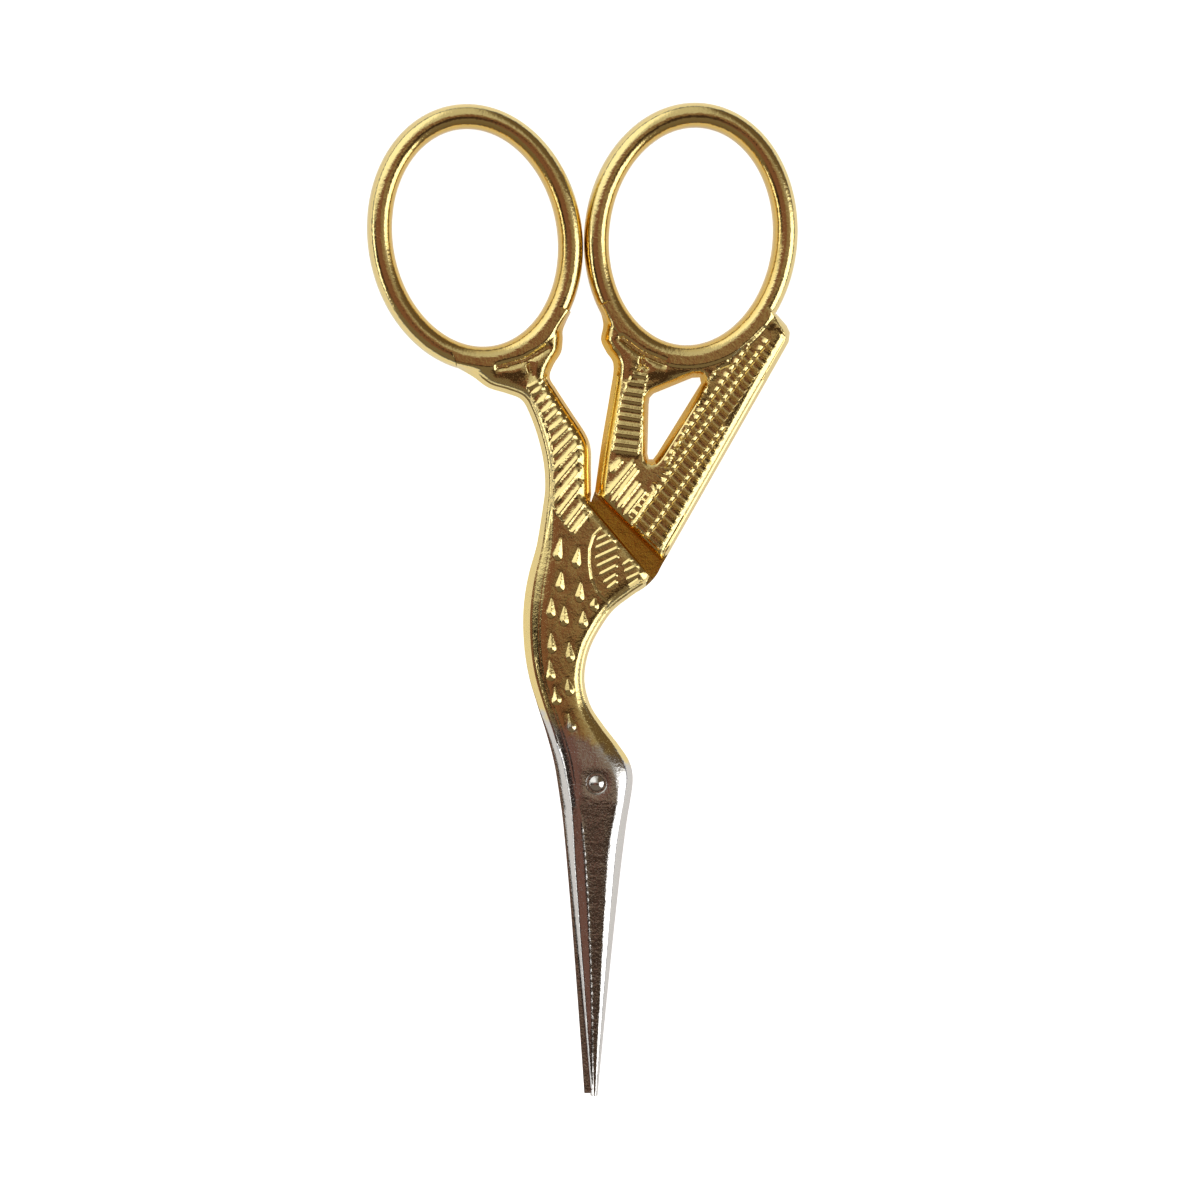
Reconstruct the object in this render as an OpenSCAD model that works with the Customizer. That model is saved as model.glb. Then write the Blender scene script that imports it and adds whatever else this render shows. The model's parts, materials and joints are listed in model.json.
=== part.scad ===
// Stork embroidery scissors: two lapped halves that turn on one pivot screw.
// X runs to the right, Y from the points to the bows, Z up through the thickness.
// The origin is on the surface that the closed scissors lie on, under the middle of their outline.
// The front half carries the left bow and the upper blade.
// The back half carries the right bow, the wing and the lower blade.

/* [Lengths] */
// Length of the front half, from its point to the top of the left bow
front_l = 114.8; // [110:0.1:120]
// Length of the back half, from its point to the top of the right bow
back_l = 114.9; // [110:0.1:120]

/* [Blades] */
// Length of each blade, from the end of the neck to the point
blade_l = 33.5; // [28:0.5:38]
// Thickness of one blade at its point
tip_t = 0.7; // [0.5:0.05:1]
// How far the lower blade shows past the upper one's cutting edge at the point
blade_lap = 0.7; // [0.4:0.05:0.75]
// How much shorter the lower blade is
blade_short = 0.3; // [0:0.05:0.5]

/* [Bows] */
// Width of the finger hole
hole_w = 19; // [18:0.1:19]
// Length of the finger hole
hole_l = 25.25; // [24:0.05:26]
// Width of the bow wire, seen from the front
wire_w = 2.95; // [2.6:0.05:3]
// Lean of the left bow to the left
left_lean = 9.2; // [7:0.1:10]
// Lean of the right bow to the right
right_lean = 5.8; // [4:0.1:6.5]

/* [Body] */
// Height of the flat faces above and below the mating plane
face_h = 1.75; // [1.6:0.05:1.75]
// Height of the bow wire and of the raised ribs above and below the mating plane
crown_h = 1.9; // [1.85:0.05:2.1]
// Running gap between the two halves
lap_gap = 0.04; // [0.02:0.01:0.08]

/* [Pivot] */
// Diameter of the pivot screw's shank
shank_d = 1.9; // [1.6:0.1:2.2]
// Radial running clearance of the shank in the back half
pivot_play = 0.04; // [0.02:0.01:0.08]
// Diameter of the countersunk screw head
head_d = 4; // [3.6:0.1:4.4]
// Diameter of the shallow recess round the domed screw end
recess_d = 2.7; // [2.4:0.1:3]

/* [Hidden] */

// Points along each stretch of a spline
STEPS = 4;
// Segments round a bow, and round its wire
BOW_STEPS = 56;
WIRE_STEPS = 16;
// Shape of the wire's section: 1 is an oval, and less is fuller
WIRE_POWER = 0.9;
// Stations along a blade
BLADE_STEPS = 14;
eps = 0.01;

// Heights: the mating plane lies half way up
z_mate = crown_h;
half_gap = lap_gap / 2;

pivot = [1.56, -21.27];
// Depth of the recess, height of the screw's head and dome, and how far the dome's foot lies under the face
recess_t = 0.25;
head_t = 0.9;
dome_t = 0.25;
dome_sink = 0.15;
// How far the screw's head lies inside its seat, and the seat's clearance round it
head_sink = 0.05;
seat_play = 0.1;
// The driver slot, with half of slot_t inside the head
slot_w = 0.5;
slot_t = 0.8;
// Length of a drill, longer than any hole
drill_l = 4;
neck_end = -24;
front_point = neck_end - blade_l;
back_point = front_point + blade_short;

// Middle of each finger hole
left_bow = [-12.42, 41.82];
right_bow = [12.68, 42.12];
wire_rx = hole_w / 2 + wire_w / 2;
wire_ry = hole_l / 2 + wire_w / 2;

// Ends of the lines on which the halves lap: between the legs, at the tail and on the flank
crotch = [0.95, 11.4];
tail_corner = [7.95, 2.7];
flank = [-4.6, 10.2];

// Widths of slope and chamfer where an outline runs inside a bow's wire
buried = [0.2, 0.1];
// An outline point is [x, y, width of the sloping side, width of the edge chamfer]
front_shin = [
    [-14.6, 26.85, 0.2, 0.1], [-12.75, 25.8, 0.6, 0.3], [-10.9, 24.5, 0.6, 0.3], [-8.8, 23.85, 0.6, 0.3],
    [-7.1, 23.15, 0.6, 0.3], [-6.2, 21.7, 0.6, 0.3], [-5.2, 19, 0.6, 0.3], [-4.5, 16, 0.6, 0.3],
    [-4.3, 13, 0.6, 0.3], [-4.6, 10.4, 0.65, 0.3]];
front_belly = [
    [-4.6, 10.4, 0.65, 0.3], [-5.3, 6.2, 0.8, 0.35], [-6.3, 2.5, 1, 0.35], [-6.82, -1.2, 1.05, 0.35],
    [-6.75, -5.2, 1, 0.4], [-6.18, -8.8, 0.9, 0.5], [-5.1, -12.3, 0.8, 0.6], [-3.85, -15.8, 0.75, 0.75],
    [-2.9, -19.2, 0.7, 0.8], [-2.12, -24, 0.7, 0.8]];
front_breast = [
    [5.5, -24, 0.85, 0.9], [5.9, -20.9, 0.85, 0.95], [5.5, -18.8, 0.85, 0.95], [4.2, -16.8, 0.75, 0.8],
    [2.5, -14.6, 0.7, 0.6], [1, -12.3, 0.65, 0.5], [0.3, -9.6, 0.6, 0.4], [0.55, -6.9, 0.6, 0.35],
    [1.5, -4.4, 0.6, 0.35], [3.4, -1.5, 0.6, 0.35], [5.6, 0.3, 0.6, 0.35], [7.4, 1.5, 0.6, 0.35]];
front_thigh = [
    [1.05, 12.2, 0.55, 0.3], [1.03, 15, 0.6, 0.3], [1, 17.4, 0.6, 0.3], [0.45, 19.1, 0.6, 0.3],
    [-1.25, 21.7, 0.6, 0.3], [-2.95, 24.3, 0.6, 0.3], [-3.75, 25.7, 0.6, 0.3], [-3.35, 27.1, 0.6, 0.3],
    [-2.45, 28.6, 0.6, 0.3], [-2.25, 30.1, 0.6, 0.3], [-2.2, 31.3, 0.5, 0.3], [-1.3, 33.3, 0.2, 0.1]];

back_thigh = [
    [1.9, 34, 0.2, 0.1], [2.45, 31.95, 0.5, 0.3], [2.2, 30.1, 0.6, 0.3], [2.8, 28.7, 0.6, 0.3],
    [3.65, 27.1, 0.6, 0.3], [3.2, 23.6, 0.6, 0.3], [2.25, 18, 0.6, 0.3], [1.5, 12.6, 0.6, 0.3]];
back_belly = [
    [-4.6, 10, 0.65, 0.3], [-5.3, 6.2, 0.8, 0.35], [-6.3, 2.5, 1, 0.35], [-6.82, -1.2, 1.05, 0.35],
    [-6.75, -5.2, 1, 0.4], [-6.2, -8.8, 0.9, 0.5], [-5.2, -12.2, 0.8, 0.6], [-4.1, -15.7, 0.8, 0.8],
    [-3.2, -19.2, 0.85, 0.9], [-2.45, -24, 0.85, 0.9]];
back_breast = [
    [5.15, -24, 0.7, 0.8], [5.65, -20.9, 0.7, 0.8], [5.25, -18.8, 0.7, 0.8], [4, -16.8, 0.7, 0.75],
    [2.35, -14.6, 0.7, 0.6], [0.9, -12.3, 0.65, 0.5], [0.25, -9.6, 0.6, 0.4], [0.5, -6.9, 0.6, 0.35],
    [1.45, -4.4, 0.6, 0.35], [3.35, -1.5, 0.6, 0.35], [5.55, 0.3, 0.6, 0.35], [7.4, 1.5, 0.6, 0.35],
    [8.6, 2.75, 0.6, 0.35], [9.35, 4.1, 0.6, 0.35], [10, 5.2, 0.6, 0.4]];
wing_shoulder = [[1.55, 12, 0.3, 0.1], [9.1, 4.5, 0.3, 0.1]];
wing_edge = [[10, 5.2, 0.6, 0.4], [24.1, 29.9, 0.6, 0.4]];
wing_tip = [[24.25, 31, 0.6, 0.3], [23.85, 31.85, 0.6, 0.3], [22.75, 33.1, 0.3, 0.2], [22, 33.6, 0.2, 0.1]];
window = [
    [7.6, 16.9], [7.75, 16.25], [8.25, 16.25], [8.75, 16.9], [13.85, 25.1], [13.7, 25.75], [12.8, 25.7],
    [8.3, 23.85], [7.85, 23.35], [7.75, 22.6]];
// How far the window widens from the mating plane to the face, and how far its cutter reaches past the face
window_slope = 0.55;
window_reach = 1.15;

// Relief, the same on both faces: its height, how deep its foot is sunk, and how far its sides lean in
relief_h = crown_h - face_h;
relief_sink = 0.1;
relief_side = 0.12;
// Widths of the bars
rib_w = 0.62;
rung_w = 0.46;
mark_w = 0.5;
barb_w = 0.45;
rim_w = 0.34;
feather_w = 0.74;
// The left leg's ribs run from the first line to the second
rib_count = 14;
// The lower face of the front half ends above the last ribs
low_rib_count = 10;
rib_lines = [
    [[-6.3, 24.5], [-4.85, 21.95], [-3.7, 19.3], [-3.15, 15.55], [-3.1, 10.9], [-1.2, 7.8]],
    [[-5, 25.2], [-3.65, 23.25], [-2.05, 20.75], [-0.55, 18.35], [-0.35, 14.35], [0.4, 9.85]]];
// The right leg has rungs above and slanting bars below
rung_count = 10;
rung_lines = [
    [[5.9, 25.95], [4.85, 23.75], [4.4, 21.75], [4.05, 19.45], [3.7, 17.3]],
    [[7.2, 25.75], [6.7, 23.5], [6.55, 21.4], [6.4, 19.15], [6.1, 17]]];
slant_bars = [
    [[3.3, 14.75], [4.45, 16.05]], [[2.85, 12.15], [5.85, 15.75]], [[3.35, 11.2], [6.3, 15.05]],
    [[4.1, 10.5], [6.45, 13.5]], [[4.85, 9.75], [7.1, 12.55]]];
// Marks like a bird's foot below the bows: toes and heel
left_toes = [[-9.8, 26.8], [-6.9, 27.6], [-4.25, 29.05]];
left_heel = [[-6.3, 27.15], [-6.05, 26.25]];
right_toes = [[4.5, 30.15], [6.85, 28.45], [9.35, 27.4]];
right_heel = [[6.85, 27.85], [6.85, 27.1]];
// The tail's root: its rim, and barbs in two columns
tail_rim = [[2.05, 8.3], [1.2, 7.4], [0.75, 6], [0.7, 4.2], [0.95, 2.4], [1.7, 0.7], [2.9, -0.4]];
barb_counts = [7, 4];
barb_lines = [
    [[1.7, 6.9], [1.5, 4.8], [2, 2.9], [2.9, 1.3]], [[3, 7.5], [4.1, 6], [3.9, 3.9], [3.9, 2.1]],
    [[4.7, 4], [5, 2.8], [5.3, 1.5]], [[5.6, 4.65], [6.6, 3.5], [6.5, 2.3]]];
// Feather drops on the body: their radius, and the size of the top as a share of the foot
drop_r = 0.56;
drop_top = 0.55;
// A drop's bottom lies to the left of its tip by the first value times the tip's y, plus the second
drop_lean = [0.045, 0.15];
// The place of each drop's tip, and its length
drops = [
    [-2.6, 7.1, 2.6], [-0.5, 5.95, 2.3], [-2.5, 3.2, 2.3], [-0.25, 2, 2.3], [-3.65, 0.15, 2.3],
    [1.35, 0.15, 1.5], [-2.15, -0.75, 2.3], [0.05, -1.35, 2], [-3.7, -3.9, 2.3], [-1.6, -4.95, 2.3],
    [-3.9, -7, 2.4], [-1.8, -9.2, 1.9], [-3.3, -10.1, 2.1], [-1.7, -13.2, 2.1]];
// The wing's feathers hang from the first three lines, at an even pitch, and end at the next line
feather_pitch = 1;
feather_gap = 0.15;
feather_turn = -43;
feather_min = 0.6;
feather_lines = [
    [[9.7, 16.2], [19.5, 29.9]], [[5.9, 8.9], [21.4, 30.1]], [[7.45, 7.5], [19.3, 24.2]],
    [[9.15, 5.7], [23.2, 30.35]]];

// Share of a face's height at which the sloping side ends and the chamfer starts
slope_to = 0.78;
// Places across a blade as shares of its width: a point on the bevel, the ridge, ends of flat and chamfer
bevel_mid = 0.16;
ridge_at = 0.4;
flat_to = 0.74;
chamfer_to = 0.88;
// How much fuller than straight the bevel is, and the height of the spine's side as a share of the thickness
bevel_full = 1.1;
spine_side = 0.75;
// Share of the blade over which the neck's section turns into the blade's, and how the spine curves
neck_blend = 0.2;
spine_curve = 0.85;
// The blades' left and right edges at the neck and at the point
front_neck = [-2.12, 5.5];
back_neck = [-2.45, 5.15];
front_tip = [0.95, 1.8];
back_tip = [front_tip[0] - blade_lap, front_tip[1] - blade_lap];
// Widths of slope and chamfer at the neck's end, on the cutting side and on the spine's side
cutting_start = [0.7, 0.8];
spine_start = [0.85, 0.9];

function mix(a, b, t) = a + (b - a) * t;
function smooth(t) = t <= 0 ? 0 : t >= 1 ? 1 : t * t * (3 - 2 * t);

// A point on the curve that passes through p1 and p2, drawn on by p0 and p3
function pass(p0, p1, p2, p3, t) =
    0.5 * (2 * p1 + (p2 - p0) * t + (2 * p0 - 5 * p1 + 4 * p2 - p3) * t * t
        + (3 * p1 - p0 - 3 * p2 + p3) * t * t * t);

// A smooth open curve through every point of the list
function spline(p) = [
    for (i = [0:len(p) - 2])
        for (s = [0:STEPS - 1])
            pass(p[max(i - 1, 0)], p[i], p[i + 1], p[min(i + 2, len(p) - 1)], s / STEPS),
    p[len(p) - 1]];

function reversed(list) = [for (i = [len(list) - 1:-1:0]) list[i]];
function without_last(list) = [for (i = [0:len(list) - 2]) list[i]];
function without_first(list) = [for (i = [1:len(list) - 1]) list[i]];

// The unit normal on the left of the way from a to b
function left_normal(a, b) = let (d = [b.x - a.x, b.y - a.y]) [-d.y, d.x] / norm(d);

// Where two lines with normals a and b meet when they are moved inwards by u and w
function mitre(a, b, u, w) =
    let (c = a * b)
    abs(c) > 0.97 ? (a + b) * (u + w) / 2 / (1 + c) : (a * (u - w * c) + b * (w - u * c)) / (1 - c * c);

// Point i of an outline moved inwards by the widths w. An open outline's ends keep their y.
function moved_in(p, w, i, open) =
    let (n = len(p), h = (i + n - 1) % n, j = (i + 1) % n,
        a = left_normal(p[h], p[i]), b = left_normal(p[i], p[j]))
    [p[i].x, p[i].y] + (
        open && i == 0 ? [w[i] / b.x, 0]
        : open && i == n - 1 ? [w[i] / a.x, 0]
        : mitre(a, b, (w[h] + w[i]) / 2, (w[i] + w[j]) / 2));

// Triangles over rings that hold equally many points
function ring_sides(n, m) = [
    for (k = [0:m - 2])
        for (i = [0:n - 1])
            let (j = (i + 1) % n)
            each [[k * n + i, (k + 1) * n + i, (k + 1) * n + j], [k * n + i, (k + 1) * n + j, k * n + j]]];

// A layer above the mating plane
// Each outline point is [x, y, slope width, chamfer width, height of the slope's top, height of the face].
// The first and last `pairs` points of an open outline face each other across the blade.
module layer(outline, pairs = 0) {
    n = len(outline);
    open = pairs > 0;
    slope_w = [for (p = outline) p[2]];
    face_w = [for (p = outline) p[2] + p[3]];
    points = concat(
        [for (p = outline) [p.x, p.y, z_mate + half_gap]],
        [for (i = [0:n - 1]) concat(moved_in(outline, slope_w, i, open), z_mate + outline[i][4])],
        [for (i = [0:n - 1]) concat(moved_in(outline, face_w, i, open), z_mate + outline[i][5])]);
    top = 2 * n;
    blade_face = [
        for (i = [0:1:pairs - 2])
            let (j = n - 1 - i)
            each [[top + i, top + j, top + j - 1], [top + i, top + j - 1, top + i + 1]]];
    body_from = max(pairs - 1, 0);
    body_face = [for (i = [n - 1 - body_from:-1:body_from]) top + i];
    polyhedron(points, concat([[for (i = [0:n - 1]) i]], ring_sides(n, 3), [body_face], blade_face));
}

// The same layer below the mating plane
module below() {
    translate([0, 0, 2 * z_mate])
        mirror([0, 0, 1])
            children();
}

// Outline points of a flat part, given their heights
function flat_points(p) = [for (q = p) concat(q, [slope_to * face_h, face_h])];

// One edge of a blade, from the neck to its point at y: neck and tip are [left, right], and side picks one
function blade_side(neck, tip, y, side, cutting) = [
    for (i = [0:BLADE_STEPS])
        let (t = i / BLADE_STEPS,
            x = mix(neck[side], tip[side], pow(t, cutting ? 1 : spine_curve)),
            other = mix(neck[1 - side], tip[1 - side], pow(t, cutting ? spine_curve : 1)),
            w = abs(other - x), h = mix(face_h, tip_t, t), g = smooth(t / neck_blend),
            start = cutting ? cutting_start : spine_start,
            slope = cutting ? bevel_mid * w : (1 - chamfer_to) * w,
            face = cutting ? ridge_at * w : (1 - flat_to) * w,
            rise = cutting ? bevel_mid / ridge_at * bevel_full : spine_side)
        [x, mix(neck_end, y, t), mix(start[0], slope, g), mix(start[1], face - slope, g),
            mix(slope_to, rise, g) * h, h]];

// A bow's wire centre line at an angle, with the bow leaning by an angle to the left
function bow_at(c, lean, a) =
    let (x = wire_rx * cos(a), y = wire_ry * sin(a))
    [c.x + x * cos(lean) - y * sin(lean), c.y + x * sin(lean) + y * cos(lean)];

// Outline points along a bow's wire
function bow_arc(c, lean, from, to, steps = 12) = [
    for (i = [0:steps])
        concat(bow_at(c, lean, mix(from, to, i / steps)), buried)];

// One bow: an oval wire swept round an oval
module bow(c, lean) {
    points = [
        for (i = [0:BOW_STEPS - 1])
            let (a = 360 * i / BOW_STEPS, o = bow_at(c, lean, a),
                n = left_normal(bow_at(c, lean, a - 1), bow_at(c, lean, a + 1)))
            for (k = [0:WIRE_STEPS - 1])
                let (b = 360 * k / WIRE_STEPS)
                [o.x - n.x * cos(b) * wire_w / 2, o.y - n.y * cos(b) * wire_w / 2,
                    z_mate + crown_h * sign(sin(b)) * pow(abs(sin(b)), WIRE_POWER)]];
    faces = [
        for (i = [0:BOW_STEPS - 1])
            for (k = [0:WIRE_STEPS - 1])
                let (l = (k + 1) % WIRE_STEPS, u = i * WIRE_STEPS, v = (i + 1) % BOW_STEPS * WIRE_STEPS)
                each [[u + k, u + l, v + l], [u + k, v + l, v + k]]];
    polyhedron(points, faces);
}

// A raised bar from a to b
module bar(a, b, w) {
    l = norm(b - a) + w / 2;
    translate([(a.x + b.x) / 2, (a.y + b.y) / 2, z_mate + face_h - relief_sink])
        rotate(atan2(b.y - a.y, b.x - a.x))
            linear_extrude(relief_sink + relief_h, scale = [1 - 2 * relief_side / l, 1 - 2 * relief_side / w])
                square([l, w], center = true);
}

// A raised strip along a line of points
module strip(p, w) {
    n = len(p);
    section = [
        [w / 2, -relief_sink], [w / 2 - relief_side, relief_h], [relief_side - w / 2, relief_h],
        [-w / 2, -relief_sink]];
    points = [
        for (i = [0:n - 1])
            let (a = left_normal(p[max(i - 1, 0)], p[max(i, 1)]),
                b = left_normal(p[min(i, n - 2)], p[min(i + 1, n - 1)]))
            for (s = section)
                concat(p[i] + (a + b) / (1 + a * b) * s[0], z_mate + face_h + s[1])];
    polyhedron(points, concat([[0, 1, 2, 3]], ring_sides(4, n), [[for (k = [3:-1:0]) 4 * (n - 1) + k]]));
}

// A point at t from 0 to 1 on the curve through a few points
function along(p, t) =
    let (n = len(p) - 1, i = min(floor(t * n), n - 1))
    pass(p[max(i - 1, 0)], p[i], p[i + 1], p[min(i + 2, n)], t * n - i);

// Evenly spaced bars between two lines, or only the first few of them
module ladder(lines, count, w, first = 0) {
    for (i = [0:(first > 0 ? first : count) - 1])
        bar(along(lines[0], i / (count - 1)), along(lines[1], i / (count - 1)), w);
}

// A raised drop with its tip above and its round end below, leaning a little with the body
module drop(tip_x, tip_y, l) {
    lean = drop_lean[0] * tip_y + drop_lean[1];
    translate([tip_x - lean / 2, tip_y - l / 2, z_mate + face_h - relief_sink])
        rotate(-atan(lean / l))
            linear_extrude(relief_sink + relief_h, scale = drop_top)
                polygon(concat(
                    [[0, l / 2]],
                    [for (a = [160:44:380]) [drop_r * cos(a), drop_r - l / 2 + drop_r * sin(a)]]));
}

// How far it is from p along a feather to a line
function reach(p, line) =
    let (d = line[1] - line[0], q = line[0] - p)
    (q.x * d.y - q.y * d.x) / (cos(feather_turn) * d.y - sin(feather_turn) * d.x);

// One row of feathers, which end at the nearest of the lines
module feather_row(line, ends) {
    way = [cos(feather_turn), sin(feather_turn)];
    for (s = [0:feather_pitch:norm(line[1] - line[0])]) {
        start = line[0] + (line[1] - line[0]) * s / norm(line[1] - line[0]);
        l = min([for (e = ends) reach(start, e)]) - feather_gap;
        if (l > feather_min)
            bar(start + way * (feather_gap + feather_w / 4), start + way * (l - feather_w / 4), feather_w);
    }
}

module left_leg_relief(ribs) {
    ladder(rib_lines, rib_count, rib_w, ribs);
    strip(left_toes, mark_w);
    bar(left_heel[0], left_heel[1], mark_w);
}

module body_relief() {
    for (d = drops)
        drop(d[0], d[1], d[2]);
    strip(tail_rim, rim_w);
    ladder([barb_lines[0], barb_lines[1]], barb_counts[0], barb_w);
    ladder([barb_lines[2], barb_lines[3]], barb_counts[1], barb_w);
}

module wing_relief() {
    ladder(rung_lines, rung_count, rung_w);
    for (b = slant_bars)
        bar(b[0], b[1], rib_w);
    strip(right_toes, mark_w);
    bar(right_heel[0], right_heel[1], mark_w);
    feather_row(feather_lines[0], [feather_lines[1]]);
    feather_row(feather_lines[1], [feather_lines[2], feather_lines[3]]);
    feather_row(feather_lines[2], [feather_lines[3]]);
}

// Brings a half to its length in plan, with its thickness kept
module to_length(l) {
    resize([0, l, 0], auto = [true, false, false])
        children();
}

// Outlines, anticlockwise from above
front_arc = bow_arc(left_bow, left_lean, 318, 244);
front_upper = concat(
    reversed(blade_side(front_neck, front_tip, front_point, 1, false)),
    flat_points(concat(
        without_first(spline(front_breast)), [[tail_corner.x, tail_corner.y, 0.1, 0.3]],
        [[crotch.x, crotch.y, 0.1, 0.3]], spline(front_thigh), front_arc, spline(front_shin),
        without_first(without_last(spline(front_belly))))),
    blade_side(front_neck, front_tip, front_point, 0, true));
front_lower = flat_points(concat(
    [[crotch.x + 0.05, crotch.y + 0.5, 0.2, 0.2]], without_first(spline(front_thigh)), front_arc,
    without_last(without_last(spline(front_shin))), [[flank.x + 0.08, flank.y + 0.7, 0.2, 0.2]]));

back_arc = bow_arc(right_bow, -right_lean, 329, 217);
back_lower = concat(
    reversed(blade_side(back_neck, back_tip, back_point, 1, true)),
    flat_points(concat(
        without_first(spline(back_breast)), without_first(wing_edge), wing_tip, back_arc, spline(back_thigh),
        [[crotch.x + 0.1, crotch.y - 0.1, 0.2, 0.3]],
        without_last(spline(back_belly)))),
    blade_side(back_neck, back_tip, back_point, 0, false));
back_upper = flat_points(concat(
    wing_shoulder, wing_edge, wing_tip, back_arc, spline(back_thigh)));

module front_half() {
    color([0.72, 0.58, 0.36])
        difference() {
            to_length(front_l)
                union() {
                    bow(left_bow, left_lean);
                    layer(front_upper, BLADE_STEPS + 1);
                    left_leg_relief(rib_count);
                    body_relief();
                    below() {
                        translate([0, 0, -2 * half_gap])
                            layer(front_lower);
                        left_leg_relief(low_rib_count);
                    }
                }
            translate([pivot.x, pivot.y, z_mate - drill_l / 2])
                cylinder(d = shank_d, h = drill_l, $fn = 48);
            translate([pivot.x, pivot.y, z_mate + face_h - recess_t])
                cylinder(d = recess_d, h = drill_l, $fn = 48);
        }
}

// The tapered hole through the wing
module wing_window() {
    n = len(window);
    deep = crown_h * window_reach;
    levels = [[-deep, window_reach], [0, 0], [deep, window_reach]];
    points = [
        for (l = levels)
            for (i = [0:n - 1])
                concat(moved_in(window, [for (k = window) -window_slope * l[1]], i, false), z_mate + l[0])];
    far_end = [for (i = [n - 1:-1:0]) 2 * n + i];
    polyhedron(points, concat([[for (i = [0:n - 1]) i]], ring_sides(n, 3), [far_end]));
}

module back_half() {
    color([0.7, 0.6, 0.38])
        difference() {
            to_length(back_l)
                difference() {
                    union() {
                        bow(right_bow, -right_lean);
                        translate([0, 0, -2 * half_gap])
                            layer(back_upper);
                        wing_relief();
                        below() {
                            layer(back_lower, BLADE_STEPS + 1);
                            wing_relief();
                            body_relief();
                        }
                    }
                    wing_window();
                }
            translate([pivot.x, pivot.y, z_mate - drill_l / 2])
                cylinder(d = shank_d + 2 * pivot_play, h = drill_l, $fn = 48);
            translate([pivot.x, pivot.y, z_mate - face_h - eps])
                cylinder(
                    d1 = head_d + 2 * seat_play, d2 = shank_d + seat_play, h = head_t + seat_play, $fn = 48);
        }
}

// Revolved about its own axis: countersunk head, shank and domed end
module pivot_screw() {
    low = z_mate - face_h + head_sink;
    r = shank_d / 2;
    dome_foot = z_mate + face_h - dome_sink;
    color([0.75, 0.74, 0.72])
        translate([pivot.x, pivot.y, 0])
            difference() {
                rotate_extrude($fn = 48)
                    polygon(concat(
                        [[0, low], [head_d / 2, low], [r, low + head_t], [r, dome_foot]],
                        [for (a = [15:15:75]) [r * cos(a), dome_foot + dome_t * sin(a)]],
                        [[0, dome_foot + dome_t]]));
                translate([0, 0, low])
                    cube([head_d + 1, slot_w, slot_t], center = true);
            }
}

front_half();
back_half();
pivot_screw();
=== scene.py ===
import json
from math import asin, ceil, copysign, cos, degrees, hypot, pi, radians, sin, sqrt

import bmesh
import bpy
import numpy as np
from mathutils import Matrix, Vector
from mathutils.geometry import delaunay_2d_cdt
from mathutils.kdtree import KDTree


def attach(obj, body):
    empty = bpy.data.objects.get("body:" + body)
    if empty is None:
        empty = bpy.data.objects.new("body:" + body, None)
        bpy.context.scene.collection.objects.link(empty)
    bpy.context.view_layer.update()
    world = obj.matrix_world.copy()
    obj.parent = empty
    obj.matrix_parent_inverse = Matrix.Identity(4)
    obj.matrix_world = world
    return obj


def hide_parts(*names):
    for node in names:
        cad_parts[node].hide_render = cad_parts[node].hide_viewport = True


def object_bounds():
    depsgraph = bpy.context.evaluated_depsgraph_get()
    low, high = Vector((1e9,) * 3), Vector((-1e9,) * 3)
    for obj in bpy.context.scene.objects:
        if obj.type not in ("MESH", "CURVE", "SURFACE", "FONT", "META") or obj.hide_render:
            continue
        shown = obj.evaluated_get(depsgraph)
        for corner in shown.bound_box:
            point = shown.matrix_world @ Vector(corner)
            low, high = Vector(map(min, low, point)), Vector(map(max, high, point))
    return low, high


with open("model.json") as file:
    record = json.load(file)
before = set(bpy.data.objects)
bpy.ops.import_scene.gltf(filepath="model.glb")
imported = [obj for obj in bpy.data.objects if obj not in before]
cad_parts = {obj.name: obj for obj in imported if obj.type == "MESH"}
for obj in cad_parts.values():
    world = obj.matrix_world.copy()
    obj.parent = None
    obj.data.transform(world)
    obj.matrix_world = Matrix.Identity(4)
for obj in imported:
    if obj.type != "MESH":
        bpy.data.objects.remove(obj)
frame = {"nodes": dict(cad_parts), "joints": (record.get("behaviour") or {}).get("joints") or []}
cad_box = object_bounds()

scene, columns = bpy.context.scene, np.column_stack
# Shapes are worked out in millimetres, and only their meshes are in metres
MM = 0.001

# From the frame: the mating plane and the pivot
Z_MATE = (cad_box[0].z + cad_box[1].z) / 2 / MM
PIVOT = np.array(frame["joints"][0]["pos_m"][:2]) / MM

# Driving sizes, as in the part's source
HOLE_W, HOLE_L, WIRE_W = 19, 25.25, 2.95
# The centre of each bow, and its lean in degrees
LEFT_BOW, RIGHT_BOW = ((-12.42, 41.82), 9.2), ((12.68, 42.12), -5.8)
FACE_H, CROWN_H, TIP_T, HALF_GAP, NECK_END = 1.75, 1.9, 0.7, 0.02, -24
SHANK_D, PIVOT_PLAY, HEAD_D, RECESS_D = 1.9, 0.04, 4, 2.7
RECESS_T, HEAD_T, DOME_T, DOME_SINK = 0.25, 0.9, 0.25, 0.15
HEAD_SINK, SEAT_PLAY, SLOT_W, SLOT_T = 0.05, 0.1, 0.5, 0.8

# Distances between mesh points: along an edge, and inside plain areas
EDGE_STEP = 0.17
FILL_STEP = 0.5

# Where the halves lap, with the front half's hip and the back half's waist
CROTCH, TAIL_CORNER, FLANK = (0.95, 11.4), (7.95, 2.7), (-4.6, 10.2)
HIP = ((FLANK[0] + 0.08, FLANK[1] + 0.7), (CROTCH[0] + 0.05, CROTCH[1] + 0.5))
WAIST = (CROTCH[0] + 0.1, CROTCH[1] - 0.1)
# Widths of slope and chamfer along these edges
TAIL_SIDE, SHOULDER_SIDE = ((0.5, 0.25), (0.1, 0.15)), ((0.1, 0.1), (0.42, 0.12))
HIP_SIDE, WAIST_SIDE, WING_SIDE = (0.2, 0.2), ((0.3, 0.2), (0.2, 0.3), (0.3, 0.2)), (0.3, 0.1)
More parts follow.
